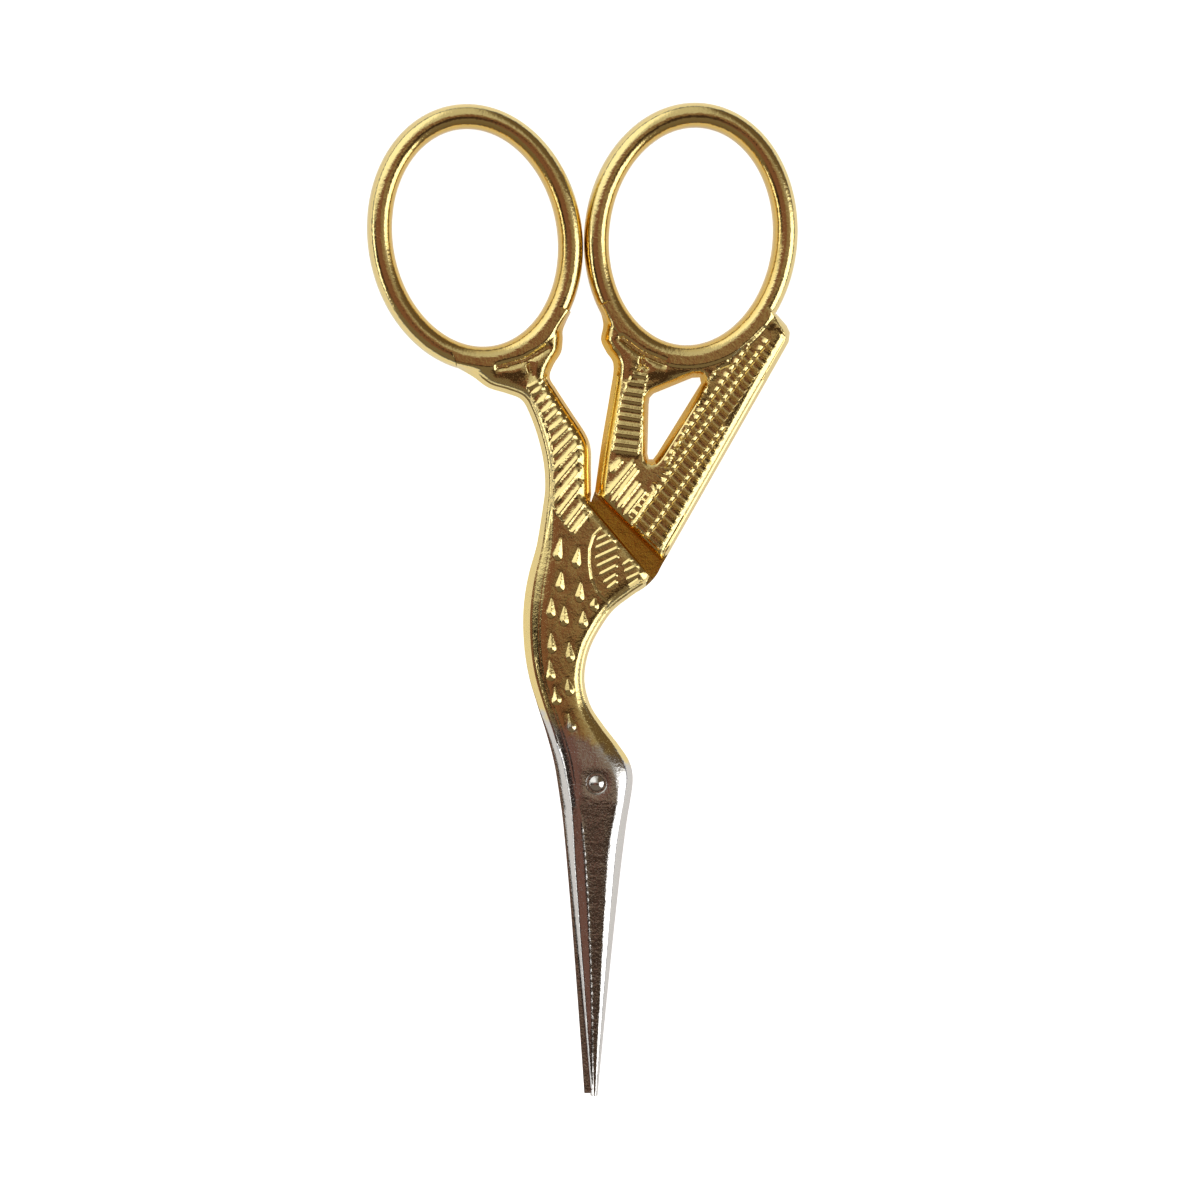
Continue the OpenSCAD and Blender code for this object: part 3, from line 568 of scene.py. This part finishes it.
class Layer:
    """The upper or the lower face of a half, seen as a height over the mating plane"""

    def __init__(self, bow, outline, chains, marks, window=None, hole=0.0, seat=None, blade=None):
        self.bow, self.outline, self.chains, self.marks = bow, outline, chains, marks
        self.window, self.hole, self.seat = window, hole, seat
        self.blade = None if blade is None else chains[blade]
        steps = ceil(2 * pi * HOLE_L / 2 / EDGE_STEP)
        self.angles = np.arange(steps) * 360 / steps
        self.rim = bow_at(bow, self.angles, -WIRE_W / 2)
        self.finger = bow_at(bow, self.angles, WIRE_W / 2)
        self.centre = bow_at(bow, self.angles)
        self.bore = circle(hole / 2, BORE_SIDES)

    def covers(self, p):
        result = inside(p, self.outline) | inside(p, self.rim)
        result &= ~inside(p, self.finger)
        if self.window is not None:
            result &= ~inside(p, self.window)
        if self.hole:
            result &= np.hypot(*(p - PIVOT).T) > self.hole / 2 - 1e-3
        return result

    def heights(self, p):
        """Height of the face over the mating plane at each point"""
        y = p[:, 1]
        on_plate = inside(p, self.outline)
        plate = np.full(len(p), FACE_H)
        drop = np.zeros(len(p))
        cutting = []
        for chain in self.chains:
            d, at = nearest(p, chain)
            if chain is self.blade:
                cutting.append((d, at))
            plate = np.minimum(plate, side_height(d, *at[:, 2:6].T))
            drop += CROWN_DROP * np.clip(1 - (d - at[:, 2] - at[:, 3]) / CROWN_REACH, 0, 1) ** 2
        (low, low_blend), (high, high_blend) = LOWERED_LOW, LOWERED_HIGH
        lowered = smooth((y - low) / low_blend) * smooth((high - y) / high_blend)
        if self.window is not None:
            d, _ = nearest(p, self.window, closed=True)
            plate = np.minimum(plate, side_height(
                d, WINDOW_SLOPE, WINDOW_CHAMFER, SLOPE_TO * FACE_H, FACE_H))
            field = np.array(WING_FIELD)
            d, _ = nearest(p, field, closed=True)
            lowered = np.where(inside(p, field), smooth(d / FIELD_BLEND), lowered)
        drop += LOWERED * lowered
        for d, at in cutting:
            away = (d - at[:, 2] - at[:, 3]) / RIDGE_W
            dash = 1 - RIDGE_WAVE + RIDGE_WAVE * np.sin(y * RIDGE_WAVES)
            plate += RIDGE_LINE * dash * np.exp(-away ** 2) * smooth((NECK_END - y) / RIDGE_FADE)
        on_face = smooth((plate - FACE_FROM) / FACE_BLEND) * smooth((y - NECK_END) / NECK_FADE)
        plate = plate - on_face * drop
        plate = np.where(on_plate, plate, 0)
        away, _ = nearest(p, self.centre, closed=True)
        bow = bow_height(np.clip(WIRE_W / 2 - away, 0, None))
        h = np.maximum(plate, bow)
        fillet = np.clip(JOINT_R - abs(plate - bow), 0, None) ** 2 / (4 * JOINT_R)
        fillet = fillet * smooth((plate - JOINT_FROM) / JOINT_BLEND) * smooth(away / JOINT_REACH)
        for more in (fillet, np.where(on_plate, on_face, 0) * raised(self.marks, p)):
            h = np.minimum(h + more, np.maximum(h, CROWN_H))
        if self.seat is not None:
            h = self.seat(p, h)
        return h


# A face's rows of points: shares of slope and chamfer, distances from ridge and wire, radii round the pivot
SLOPE_ROWS, CHAMFER_ROWS = (0.33, 0.7, 0.93, 1, 1.08), (0.12, 0.25, 0.45, 0.75, 1, 1.3, 1.7)
RIDGE_ROWS = (-0.13, -0.065, 0.065, 0.13)
WIRE_ROWS = (0.08, 0.17, 0.27, 0.38, 0.5, 0.62, 0.75, 0.9, 1.06, 1.25, WIRE_W / 2)
SEAT_ROWS = (1.05, 1.15, 1.22, 1.29, 1.34, 1.37, 1.6, 2.06, 2.1, 2.14)
# Shares of the steps between rows' points, from them to the fill and between its rows, and sides of circles
ROW_CLEAR, FILL_CLEAR, FILL_ROW, BORE_SIDES, SEAT_SIDES = 0.28, 0.6, 0.866, 48, 64


def inner_points(layer):
    """Points for a layer's face: rows that follow its edges, and a plain fill"""
    rows = []
    for d in WIRE_ROWS:
        rows += [bow_at(layer.bow, layer.angles, inset) for inset in (WIRE_W / 2 - d, d - WIRE_W / 2)]
    loops = list(layer.chains)
    if layer.window is not None:
        loops.append(columns([
            np.vstack([layer.window, layer.window[:1]])[::-1],
            np.tile([WINDOW_SLOPE, WINDOW_CHAMFER], (len(layer.window) + 1, 1))]))
    for chain in loops:
        way = np.gradient(chain[:, :2], axis=0)
        normal = columns([-way[:, 1], way[:, 0]]) / np.hypot(*way.T)[:, None]
        slope, chamfer = chain[:, 2], chain[:, 3]
        far = [slope * share for share in SLOPE_ROWS] + [slope + chamfer * share for share in CHAMFER_ROWS]
        if chain is layer.blade:
            far += [slope + chamfer + d for d in RIDGE_ROWS]
        for d in far:
            row = chain[:, :2] + normal * d[:, None]
            keep = np.ones(len(row), bool)
            for other in loops:
                away, _ = nearest(row, other)
                keep &= away > d - 0.01
            rows.append(row[keep])
    if layer.window is not None:
        rows += [stepped(WING_FIELD + WING_FIELD[:1])]
    if layer.hole:
        rows += [circle(radius, SEAT_SIDES) for radius in SEAT_ROWS]
    p = np.vstack([m.mesh_points() for m in layer.marks] + rows)
    p = thinned(p[layer.covers(p)], EDGE_STEP * ROW_CLEAR)
    border = np.vstack([layer.outline, layer.rim])
    low, high = border.min(0), border.max(0)
    xs, ys = np.arange(low[0], high[0], FILL_STEP), np.arange(low[1], high[1], FILL_STEP * FILL_ROW)
    grid = np.array([(x + (j % 2) * FILL_STEP / 2, y) for j, y in enumerate(ys) for x in xs])
    grid = grid[layer.covers(grid)]
    tree = tree_of(p)
    return np.vstack([p, grid[[tree.find((x, y, 0))[2] > FILL_CLEAR * FILL_STEP for x, y in grid]]])


def thinned(p, step):
    """The points without those that crowd an earlier one"""
    cells = {}
    keep = []
    for i, (x, y) in enumerate(p):
        cx, cy = int(x // step), int(y // step)
        near = (j for u in (-1, 0, 1) for v in (-1, 0, 1) for j in cells.get((cx + u, cy + v), ()))
        if all((p[j][0] - x) ** 2 + (p[j][1] - y) ** 2 > step * step for j in near):
            cells.setdefault((cx, cy), []).append(i)
            keep.append(i)
    return p[keep]


# Triangles flatter than this lie along a straight outline and are left out
SLIVER = 2e-6


def triangulated(loops, extra, covered):
    """Points and triangles of the covered area between closed loops"""
    points, edges = [], []
    for loop in loops:
        first, n = len(points), len(loop)
        edges += [(first + i, first + (i + 1) % n) for i in range(n)]
        points += [Vector(q) for q in loop]
    points += [Vector(q) for q in extra]
    verts, _, faces, _, _, _ = delaunay_2d_cdt(points, edges, [], 0, 1e-5, False)
    verts = np.array([tuple(v) for v in verts])
    faces = np.array([f for f in faces if len(f) == 3])
    a, b, c = verts[faces].transpose(1, 0, 2)
    size = abs((b - a)[:, 0] * (c - a)[:, 1] - (b - a)[:, 1] * (c - a)[:, 0])
    longest = np.max([np.hypot(*(p - q).T) for p, q in ((a, b), (b, c), (c, a))], axis=0)
    real = size / longest > SLIVER
    return verts, faces[covered((a + b + c) / 3) & real]


def loops_of(layer):
    loops = [layer.outline, layer.rim, layer.finger]
    if layer.window is not None:
        loops.append(layer.window)
    if layer.hole:
        loops.append(layer.bore)
    return loops


# Points of a face that are lower than this lie on the mating plane
ON_PLANE = 0.015


def face_of(layer, base, sign):
    """One face of a half as 3-D points and triangles, above the mating plane or below it"""
    verts, faces = triangulated(loops_of(layer), inner_points(layer), layer.covers)
    used = np.unique(faces)
    index = np.full(len(verts), -1)
    index[used] = np.arange(len(used))
    verts, faces = verts[used], index[faces]
    h = layer.heights(verts)
    z = lifted(np.where(h < ON_PLANE, 0, h), base, sign)
    if sign < 0:
        faces = faces[:, ::-1]
    return columns([verts, z]), faces


def mating_faces(upper, lower, base):
    """The flat faces on the mating plane, where one layer reaches past the other"""
    verts, faces = triangulated(
        loops_of(upper) + loops_of(lower), [], lambda p: upper.covers(p) ^ lower.covers(p))
    middle = verts[faces].mean(1)
    down = upper.covers(middle)
    faces = np.where(down[:, None], faces[:, ::-1], faces)
    return columns([verts, np.full(len(verts), float(base))]), faces


def mesh_from(name, groups):
    """A mesh object from groups of points and triangles that share their borders"""
    bm = bmesh.new()
    for verts, faces in groups:
        made = [bm.verts.new((x * MM, y * MM, z * MM)) for x, y, z in verts]
        for f in faces:
            bm.faces.new([made[i] for i in f])
    bmesh.ops.remove_doubles(bm, verts=bm.verts, dist=2e-6)
    bmesh.ops.delete(bm, geom=[v for v in bm.verts if not v.link_faces], context="VERTS")
    return object_of(name, bm)


def object_of(name, bm):
    mesh = bpy.data.meshes.new(name)
    bm.to_mesh(mesh)
    bm.free()
    piece = bpy.data.objects.new(name, mesh)
    scene.collection.objects.link(piece)
    return piece


def outline_of(*parts):
    return np.vstack([part[:, :2] for part in parts])


def lap(points, sides):
    """A straight edge where the halves lap, with its slope and chamfer at each point"""
    return flat(stepped([[*point[:2], *side] for point, side in zip(points, sides)]))


def front_layers():
    shin, belly, breast, thigh = (
        flat(spline(rows)) for rows in (FRONT_SHIN, FRONT_BELLY, FRONT_BREAST, FRONT_THIGH))
    spine = blade_side(*FRONT_BLADE, 1, False)[::-1]
    cutting = blade_side(*FRONT_BLADE, 0, True)
    arc = bow_at(LEFT_BOW, np.linspace(*LEFT_ARC))
    tail = lap([breast[-1], TAIL_CORNER], TAIL_SIDE)
    shoulder = lap([TAIL_CORNER, CROTCH], SHOULDER_SIDE)
    upper = Layer(
        LEFT_BOW,
        outline_of(spine, breast[1:], tail[1:], shoulder[1:], thigh, arc, shin, belly[1:-1], cutting),
        [np.vstack([spine, breast[1:], tail[1:]]), shoulder, thigh, np.vstack([shin, belly[1:-1], cutting])],
        left_leg_marks(RIB_COUNT) + body_marks(), hole=SHANK_D, seat=recess, blade=3)
    hip = lap([shin[-3], *HIP, thigh[1]], [HIP_SIDE] * 4)
    lower = Layer(
        LEFT_BOW, outline_of(hip, thigh[2:], arc, shin[:-3]),
        [hip, thigh[1:], shin[:-2]], left_leg_marks(LOW_RIB_COUNT))
    return upper, lower


# Radii of the recess at its floor and at its rim, which is slightly rounded
RECESS_FLOOR, RECESS_RIM = 1.15, RECESS_D / 2 + 0.03


def recess(p, h):
    r = np.hypot(*(p - PIVOT).T)
    depth = RECESS_T * (1 - smooth((r - RECESS_FLOOR) / (RECESS_RIM - RECESS_FLOOR)))
    return np.where(r < RECESS_RIM, h - depth, h)


def countersink(p, h):
    """The screw head's seat"""
    r = np.hypot(*(p - PIVOT).T)
    outer, inner = HEAD_D / 2 + SEAT_PLAY, SHANK_D / 2 + PIVOT_PLAY
    cone = FACE_H - (HEAD_T + SEAT_PLAY) * (outer - r) / (outer - inner)
    return np.where(r < outer, np.minimum(h, cone), h)


def back_layers():
    thigh, belly, breast = (flat(spline(rows)) for rows in (BACK_THIGH, BACK_BELLY, BACK_BREAST))
    cutting = blade_side(*BACK_BLADE, 1, True)[::-1]
    spine = blade_side(*BACK_BLADE, 0, False)
    edge = flat(stepped(WING_EDGE))
    arc = bow_at(RIGHT_BOW, np.linspace(*RIGHT_ARC))
    window = stepped([w + [0, 0] for w in WINDOW + WINDOW[:1]])[:-1, :2]
    waist = lap([thigh[-1], WAIST, belly[0]], WAIST_SIDE)
    lower = Layer(
        RIGHT_BOW, outline_of(cutting, breast[1:], edge[1:], arc, thigh, waist[1:-1], belly[:-1], spine),
        [np.vstack([cutting, breast[1:], edge[1:]]), thigh, waist, np.vstack([belly[:-1], spine])],
        wing_marks() + body_marks(), window=window, hole=SHANK_D + 2 * PIVOT_PLAY, seat=countersink, blade=0)
    shoulder = flat(stepped([[*thigh[-1, :2], *WING_SIDE]] + WING_SHOULDER + [[*edge[0, :2], *WING_SIDE]]))
    upper = Layer(
        RIGHT_BOW, outline_of(shoulder[1:], edge[1:], arc, thigh),
        [shoulder, edge, thigh], wing_marks(), window=window)
    return upper, lower


def lifted(h, base, sign):
    """Z of points h above or below the mating plane, where the face starts at base"""
    return base + sign * h * (1 - sign * (base - Z_MATE) / FACE_H)


def bore_wall(layer, base, sign):
    """The wall of a layer's bore, from the mating face to the layer's face"""
    n = len(layer.bore)
    far = columns([layer.bore, lifted(layer.heights(layer.bore), base, sign)])
    near = columns([layer.bore, np.full(n, base)])
    after = [(i + 1) % n for i in range(n)]
    faces = np.array(
        [[i, n + i, n + after[i]] for i in range(n)] + [[i, n + after[i], after[i]] for i in range(n)])
    return np.vstack([near, far]), faces if sign > 0 else faces[:, ::-1]


def make_half(node, body, layers, base):
    """A half of the scissors in place of its CAD node"""
    upper, lower = layers
    groups = [face_of(upper, base, 1), face_of(lower, base, -1), mating_faces(upper, lower, base)]
    groups += [bore_wall(layer, base, sign) for layer, sign in ((upper, 1), (lower, -1)) if layer.hole]
    return finished(mesh_from(node + "_forged", groups), node, body)


# Edges that turn by more than this, in degrees, stay sharp
SHARP = 32


def finished(piece, node, body):
    """The piece, smooth between its sharp edges, riding on its body in place of its CAD node"""
    for polygon in piece.data.polygons:
        polygon.use_smooth = True
    piece.data.set_sharp_from_angle(angle=radians(SHARP))
    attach(piece, body)
    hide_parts(node)
    return piece


# The dome is a blunt cone with a rounded point: radii of its rings, its slope and its point's radius
DOME_AT, DOME_SLOPE, DOME_ROUND = (0, 0.1, 0.2, 0.3, 0.4, 0.5, 0.62, 0.74, 0.86), 0.56, 0.5
# Rounded edges, as distances inwards and from the end, on the head and on the shank under the dome
HEAD_EDGE, SHANK_EDGE = ((0.12, 0), (0.03, 0.03), (0, 0.1)), ((0, 0.12), (0.04, 0.05))
SCREW_SIDES = 64


def make_screw():
    """The pivot: a lathe-turned pin with a countersunk head, and a driver slot across the head"""
    low, r = Z_MATE - FACE_H + HEAD_SINK, SHANK_D / 2
    top = Z_MATE + FACE_H - DOME_SINK + DOME_T
    fall = [DOME_SLOPE * (t * t / 2 / DOME_ROUND if t < DOME_ROUND else t - DOME_ROUND / 2) for t in DOME_AT]
    profile = [[0, low]] + [[HEAD_D / 2 - inwards, low + up] for inwards, up in HEAD_EDGE]
    profile += [[r, low + HEAD_T]] + [[r - inwards, top - fall[-1] - down] for inwards, down in SHANK_EDGE]
    profile += [[t, top - z] for t, z in zip(DOME_AT[::-1], fall[::-1])]
    bm = bmesh.new()
    rings = []
    for radius, z in profile:
        angles = np.arange(SCREW_SIDES if radius else 1) * 2 * pi / SCREW_SIDES
        ring = [
            bm.verts.new((
                (PIVOT[0] + radius * cos(a)) * MM, (PIVOT[1] + radius * sin(a)) * MM, z * MM))
            for a in angles]
        rings.append(ring * (SCREW_SIDES // len(ring)))
    for below, above in zip(rings[:-1], rings[1:]):
        for i in range(SCREW_SIDES):
            j = (i + 1) % SCREW_SIDES
            bm.faces.new(list(dict.fromkeys([below[i], below[j], above[j], above[i]])))
    piece = object_of("pivot_screw_turned", bm)
    bpy.ops.mesh.primitive_cube_add(size=1, location=(PIVOT[0] * MM, PIVOT[1] * MM, low * MM))
    cutter = bpy.context.object
    cutter.scale = ((HEAD_D + 1) * MM, SLOT_W * MM, SLOT_T * MM)
    bpy.context.view_layer.update()
    cut = piece.modifiers.new("slot", "BOOLEAN")
    cut.operation, cut.solver, cut.object = "DIFFERENCE", "EXACT", cutter
    shaped = bpy.data.meshes.new_from_object(piece.evaluated_get(bpy.context.evaluated_depsgraph_get()))
    piece.modifiers.clear()
    piece.data = shaped
    bpy.data.objects.remove(cutter)
    return finished(piece, "pivot_screw", "front")


def node_tree(owner):
    owner.use_nodes = True
    owner.node_tree.nodes.clear()
    return owner.node_tree


def add(tree, kind, inputs=None, **settings):
    """A node with its settings and inputs, where an input is a value or another node's socket"""
    node = tree.nodes.new("ShaderNode" + kind)
    for key, value in settings.items():
        setattr(node, key, value)
    for key, value in (inputs or {}).items():
        if isinstance(value, bpy.types.NodeSocket):
            tree.links.new(value, node.inputs[key])
        else:
            node.inputs[key].default_value = value
    return node


def maths(tree, operation, *values):
    return add(tree, "Math", dict(enumerate(values)), operation=operation).outputs[0]


def combined(tree, operation, values):
    """One operation all through a list of values"""
    total = values[0]
    for value in values[1:]:
        total = maths(tree, operation, total, value)
    return total


def noise(tree, place, scale, **settings):
    inputs = {"Vector": place, "Scale": scale, "Detail": 1} | settings
    return add(tree, "TexNoise", inputs).outputs["Fac"]


def ramp(tree, value, low, high, out_low=0.0, out_high=1.0):
    """A soft step between two values"""
    return add(tree, "MapRange", {
        "Value": value, "From Min": low, "From Max": high, "To Min": out_low, "To Max": out_high},
        interpolation_type="SMOOTHSTEP").outputs[0]


def between(tree, value, start, end):
    """1 between two soft steps, and 0 outside them"""
    return maths(tree, "MULTIPLY", ramp(tree, value, *start), ramp(tree, value, *end, 1, 0))


def bands(tree, values, limits):
    """Shares that are 1 between limits in millimetres, with a softness"""
    return [
        between(tree, value, *[((limit - soft) * MM, (limit + soft) * MM) for limit in (low, high)])
        for value, (low, high, soft) in zip(values, limits)]


def blend(tree, factor, first, second):
    return add(tree, "Mix", {"Factor": factor, 6: first, 7: second}, data_type="RGBA").outputs[2]


def painted(tree, colour, patches):
    """A colour with others over it, each where all its shares are 1"""
    for over, shares in patches:
        colour = blend(tree, combined(tree, "MULTIPLY", shares), colour, over)
    return colour


# The gold plating, a painted deeper gold on the bows' inner sides and a painted amber on the walls of narrow
# gaps (both painted reflected light and shade from the gold around them), and the nickel
GOLD = (0.82, 0.66, 0.28, 1)
INNER_BOUNCE_GOLD = (0.72, 0.5, 0.14, 1)
GAP_BOUNCE_AMBER = (0.74, 0.46, 0.07, 1)
STEEL = (0.64, 0.63, 0.61, 1)
# The gap between legs and bows has its middle at X = GAP_X - GAP_LEAN * Y, and the wing's groove lies along
# X + GROOVE_LEAN * Y. Bands in millimetres: from, to and softness.
GAP_X, GAP_LEAN, GAP_SOFT, GROOVE_LEAN = 2.36, 0.09, 0.1, 0.93
LEGS_GAP, BOWS_GAP = ((-4.3, 4.3, 0.2), (11, 36, 0.6)), ((-2.6, 2.6, 0.3), (35, 50, 2.5))
WINDOW_BOX = (7, 14.9, 0.1), (15.6, 26.4, 0.1)
WING_GROOVE = (10.3, 14, 0.1), (1.9, 11.6, 0.4), (0.6, 10.2, 0.1)
GAP_WALL = (0.45, 2 * Z_MATE - 0.45, 0.1)


def painted_gap_bounce_share(tree, x, y, z):
    """1 on the walls of narrow gaps, where amber is painted as reflected light and shade: between the halves,
    in the wing's window and in the groove under it
    """
    normal = add(tree, "SeparateXYZ", {0: add(tree, "NewGeometry").outputs["Normal"]})
    to_gap = maths(tree, "SUBTRACT", maths(tree, "MULTIPLY_ADD", y, GAP_LEAN, x), GAP_X * MM)
    facing = ramp(tree, maths(tree, "MULTIPLY", to_gap, normal.outputs["X"]), -GAP_SOFT * MM, 0, 1, 0)
    across = maths(tree, "MULTIPLY_ADD", y, GROOVE_LEAN, x)
    spaces = [
        [facing, *bands(tree, (to_gap, y), LEGS_GAP)], [facing, *bands(tree, (to_gap, y), BOWS_GAP)],
        bands(tree, (x, y), WINDOW_BOX), bands(tree, (across, y, x), WING_GROOVE)]
    total = combined(tree, "MAXIMUM", [combined(tree, "MULTIPLY", space) for space in spaces])
    return maths(tree, "MULTIPLY", total, *bands(tree, [z], [GAP_WALL]))


# The bows' ovals lie this far outside the holes. Squared shares of them where the inner side, with its painted
# deeper gold of reflected light and shade, and the whole wire end
OVAL_OUT, INNER_SIDE, WHOLE_WIRE = 1, (0.9, 1.02), (1.3, 1.45)


def bow_share(tree, place):
    """Shares on the inner side of the bows' wires, where a deeper gold is painted as reflected light and
    shade, and on the whole wires
    """
    outs = []
    for centre, lean in (LEFT_BOW, RIGHT_BOW):
        lean = radians(lean)
        squares = []
        for size, way in (
                (HOLE_W, (cos(lean), sin(lean))), (HOLE_L, (-sin(lean), cos(lean)))):
            scale = 1 / ((size / 2 + OVAL_OUT) * MM)
            start = -(centre[0] * way[0] + centre[1] * way[1]) * MM * scale
            for value, share in zip(place, way):
                start = maths(tree, "MULTIPLY_ADD", value, share * scale, start)
            squares.append(maths(tree, "POWER", start, 2))
        outs.append(maths(tree, "ADD", *squares))
    return [
        combined(tree, "MAXIMUM", [ramp(tree, out, *limits, 1, 0) for out in outs])
        for limits in (INNER_SIDE, WHOLE_WIRE)]


# Noise scales of the grain, the dull specks and the slow swell, the swell's share, and the bump's height
GRAIN, SPECKS, SWELL, SWELL_H, BUMP = 3600, 6200, 700, 1.5, 0.022
# Roughness of the polish, of specks and of specks on the wires, and the noise's values where specks start
POLISH, SPECK, WIRE_SPECK, SPECK_FROM = 0.11, 0.3, 0.14, (0.56, 0.7)
COAT, COAT_ROUGH = 0.3, 0.1
# The plating ends between these values of Y + PLATE_LEAN * X + PLATE_WANDER * noise, in millimetres
PLATE_LEAN, PLATE_WANDER, PLATE_FROM, PLATE_TO = 0.58, 3, -15.2, -13.6


def metal(name, plated):
    """Polished metal with a fine grain, in nickel, or plated with gold above an oblique line, with painted
    reflected light and shade on the bows' inner sides and in narrow gaps
    """
    material = bpy.data.materials.new(name)
    tree = node_tree(material)
    place = add(tree, "TexCoord").outputs["Object"]
    grain, specks = noise(tree, place, GRAIN, Detail=2, Roughness=0.6), noise(tree, place, SPECKS)
    swell = noise(tree, place, SWELL)
    x, y, z = add(tree, "SeparateXYZ", {0: place}).outputs
    # inner: where the bows' inner sides get a painted deeper gold, as reflected light and shade
    inner, wire = bow_share(tree, (x, y))
    most = maths(tree, "MULTIPLY_ADD", wire, WIRE_SPECK - SPECK, SPECK)
    height = maths(tree, "MULTIPLY_ADD", swell, SWELL_H, grain)
    bump = add(tree, "Bump", {"Height": height, "Strength": 1, "Distance": BUMP * MM})
    colour = STEEL
    if plated:
        slope = maths(tree, "MULTIPLY_ADD", x, PLATE_LEAN, y)
        edge = maths(tree, "MULTIPLY_ADD", swell, PLATE_WANDER * MM, slope)
        gold = ramp(tree, edge, PLATE_FROM * MM, PLATE_TO * MM)
        # Painted over the plating: a deeper gold on the bows' inner sides and amber on the gap walls, as
        # painted reflected light and shade
        colour = painted(tree, STEEL, [
            (GOLD, [gold]), (INNER_BOUNCE_GOLD, [inner]), (GAP_BOUNCE_AMBER, [painted_gap_bounce_share(tree, x, y, z)])])
    shader = add(tree, "BsdfPrincipled", {
        "Base Color": colour, "Metallic": 1, "Roughness": ramp(tree, specks, *SPECK_FROM, POLISH, most),
        "Coat Weight": COAT, "Coat Roughness": COAT_ROUGH, "Normal": bump.outputs["Normal"]})
    add(tree, "OutputMaterial", {"Surface": shader.outputs["BSDF"]})
    return material


# The floor: side in metres, drop under the part, colour, glow where seen or reflected, and more where seen
FLOOR, FLOOR_DROP, FLOOR_COLOUR, FLOOR_GLOW, FLOOR_LIFT = 4, 0.05, (0.85, 0.85, 0.85, 1), 0.45, 0.5


def make_floor():
    bpy.ops.mesh.primitive_plane_add(size=FLOOR, location=(0, 0, -FLOOR_DROP * MM))
    floor = bpy.context.object
    floor.name = "floor"
    material = bpy.data.materials.new("white_floor")
    tree = node_tree(material)
    path = add(tree, "LightPath").outputs
    seen = maths(tree, "MAXIMUM", path["Is Camera Ray"], path["Is Glossy Ray"])
    light = maths(
        tree, "MULTIPLY_ADD", path["Is Camera Ray"], FLOOR_LIFT, maths(tree, "MULTIPLY", seen, FLOOR_GLOW))
    shade = add(tree, "BsdfDiffuse", {"Color": FLOOR_COLOUR})
    glow = add(tree, "Emission", {"Strength": light})
    both = add(tree, "AddShader", {0: shade.outputs[0], 1: glow.outputs[0]})
    add(tree, "OutputMaterial", {"Surface": both.outputs[0]})
    floor.data.materials.append(material)


# The room that the metal reflects, by a direction's X, Y and Z. Hood and walls are a colour with patches, as
# a colour and its soft steps in X and Y, from 0 to 1 or from 1 to 0.
ALL = (-3, -2)
HOOD = (0.22, 0.105, 0.075, 1), [
    ((0.3, 0.22, 0.15, 1), (0.08, 0.1), ALL), ((0.05, 0.028, 0.018, 1), (-0.15, 0), (-0.1, -0.02, 1, 0)),
    ((0.012, 0.01, 0.01, 1), (-0.72, -0.5, 1, 0), ALL)]
WALLS = (0.2, 0.16, 0.12, 1), [
    ((0.64, 0.62, 0.56, 1), ALL, (-0.3, 0.3)), ((1.35, 1.35, 1.3, 1), (-0.3, -0.1, 1, 0), (0.1, 0.35)),
    ((0.15, 0.105, 0.065, 1), (0.1, 0.35), (0.1, 0.3))]
HOOD_MIDDLE, HOOD_SIZE, HOOD_STEP = (-0.12, -0.1), (0.72, 0.32), (0.85, 1.15)
STRIP, STRIP_Y = (2.6, 2.6, 2.6, 1), ((-0.58, -0.46), (0.05, 0.25))
STRIPS_X = ((0.58, 0.66), (0.93, 0.98)), ((-0.97, -0.93), (-0.9, -0.86))
HORIZON, HORIZON_Z = (0.12, 0.15, 0.24, 1), (0.05, 0.26)


def make_world():
    """A dim room with an oval hood over the camera, two white strips at the sides and a bluish horizon"""
    world = bpy.data.worlds.new("studio")
    scene.world = world
    tree = node_tree(world)
    place = add(tree, "TexCoord").outputs["Generated"]
    x, y, z = add(tree, "SeparateXYZ", {0: place}).outputs
    hood, walls = (
        painted(tree, colour, [
            (over, [ramp(tree, x, *in_x), ramp(tree, y, *in_y)]) for over, in_x, in_y in patches])
        for colour, patches in (HOOD, WALLS))
    strips = maths(tree, "ADD", *[between(tree, x, *steps) for steps in STRIPS_X])
    walls = painted(tree, walls, [(STRIP, [strips, between(tree, y, *STRIP_Y)])])
    squares = [
        maths(tree, "POWER", maths(tree, "MULTIPLY_ADD", value, 1 / size, -middle / size), 2)
        for value, middle, size in zip((x, y), HOOD_MIDDLE, HOOD_SIZE)]
    colour = blend(tree, ramp(tree, maths(tree, "ADD", *squares), *HOOD_STEP), hood, walls)
    colour = blend(tree, ramp(tree, z, *HORIZON_Z), HORIZON, colour)
    light = add(tree, "Background", {"Color": colour, "Strength": 1})
    add(tree, "OutputWorld", {"Surface": light.outputs[0]})


# The camera: where it looks, its lean in degrees, its distance, the width that it sees there, and its sensor
LOOK_AT, CAMERA_LEAN, CAMERA_FAR, VIEW_W, SENSOR = (2.08, -0.07, 1.9), 5, 700, 139.04, 36


def make_camera():
    lean = radians(CAMERA_LEAN)
    away = Vector((-sin(lean), 0, cos(lean)))
    camera = bpy.data.objects.new("camera", bpy.data.cameras.new("camera"))
    scene.collection.objects.link(camera)
    camera.location = (Vector(LOOK_AT) + away * CAMERA_FAR) * MM
    camera.rotation_euler = (0, -lean, 0)
    camera.data.sensor_width = SENSOR
    camera.data.lens = SENSOR * CAMERA_FAR / VIEW_W
    camera.data.clip_start, camera.data.clip_end = 0.01, 10
    scene.camera = camera


front = make_half("front_half", "front", front_layers(), Z_MATE + HALF_GAP)
back = make_half("back_half", "back", back_layers(), Z_MATE - HALF_GAP)
screw = make_screw()
plate, steel = metal("gold_plated_steel", True), metal("polished_steel", False)
nodes = [(cad, steel if node == "pivot_screw" else plate) for node, cad in frame["nodes"].items()]
for piece, material in [(front, plate), (back, plate), (screw, steel)] + nodes:
    piece.data.materials.clear()
    piece.data.materials.append(material)

make_floor()
make_world()
make_camera()
scene.view_settings.view_transform = "Standard"
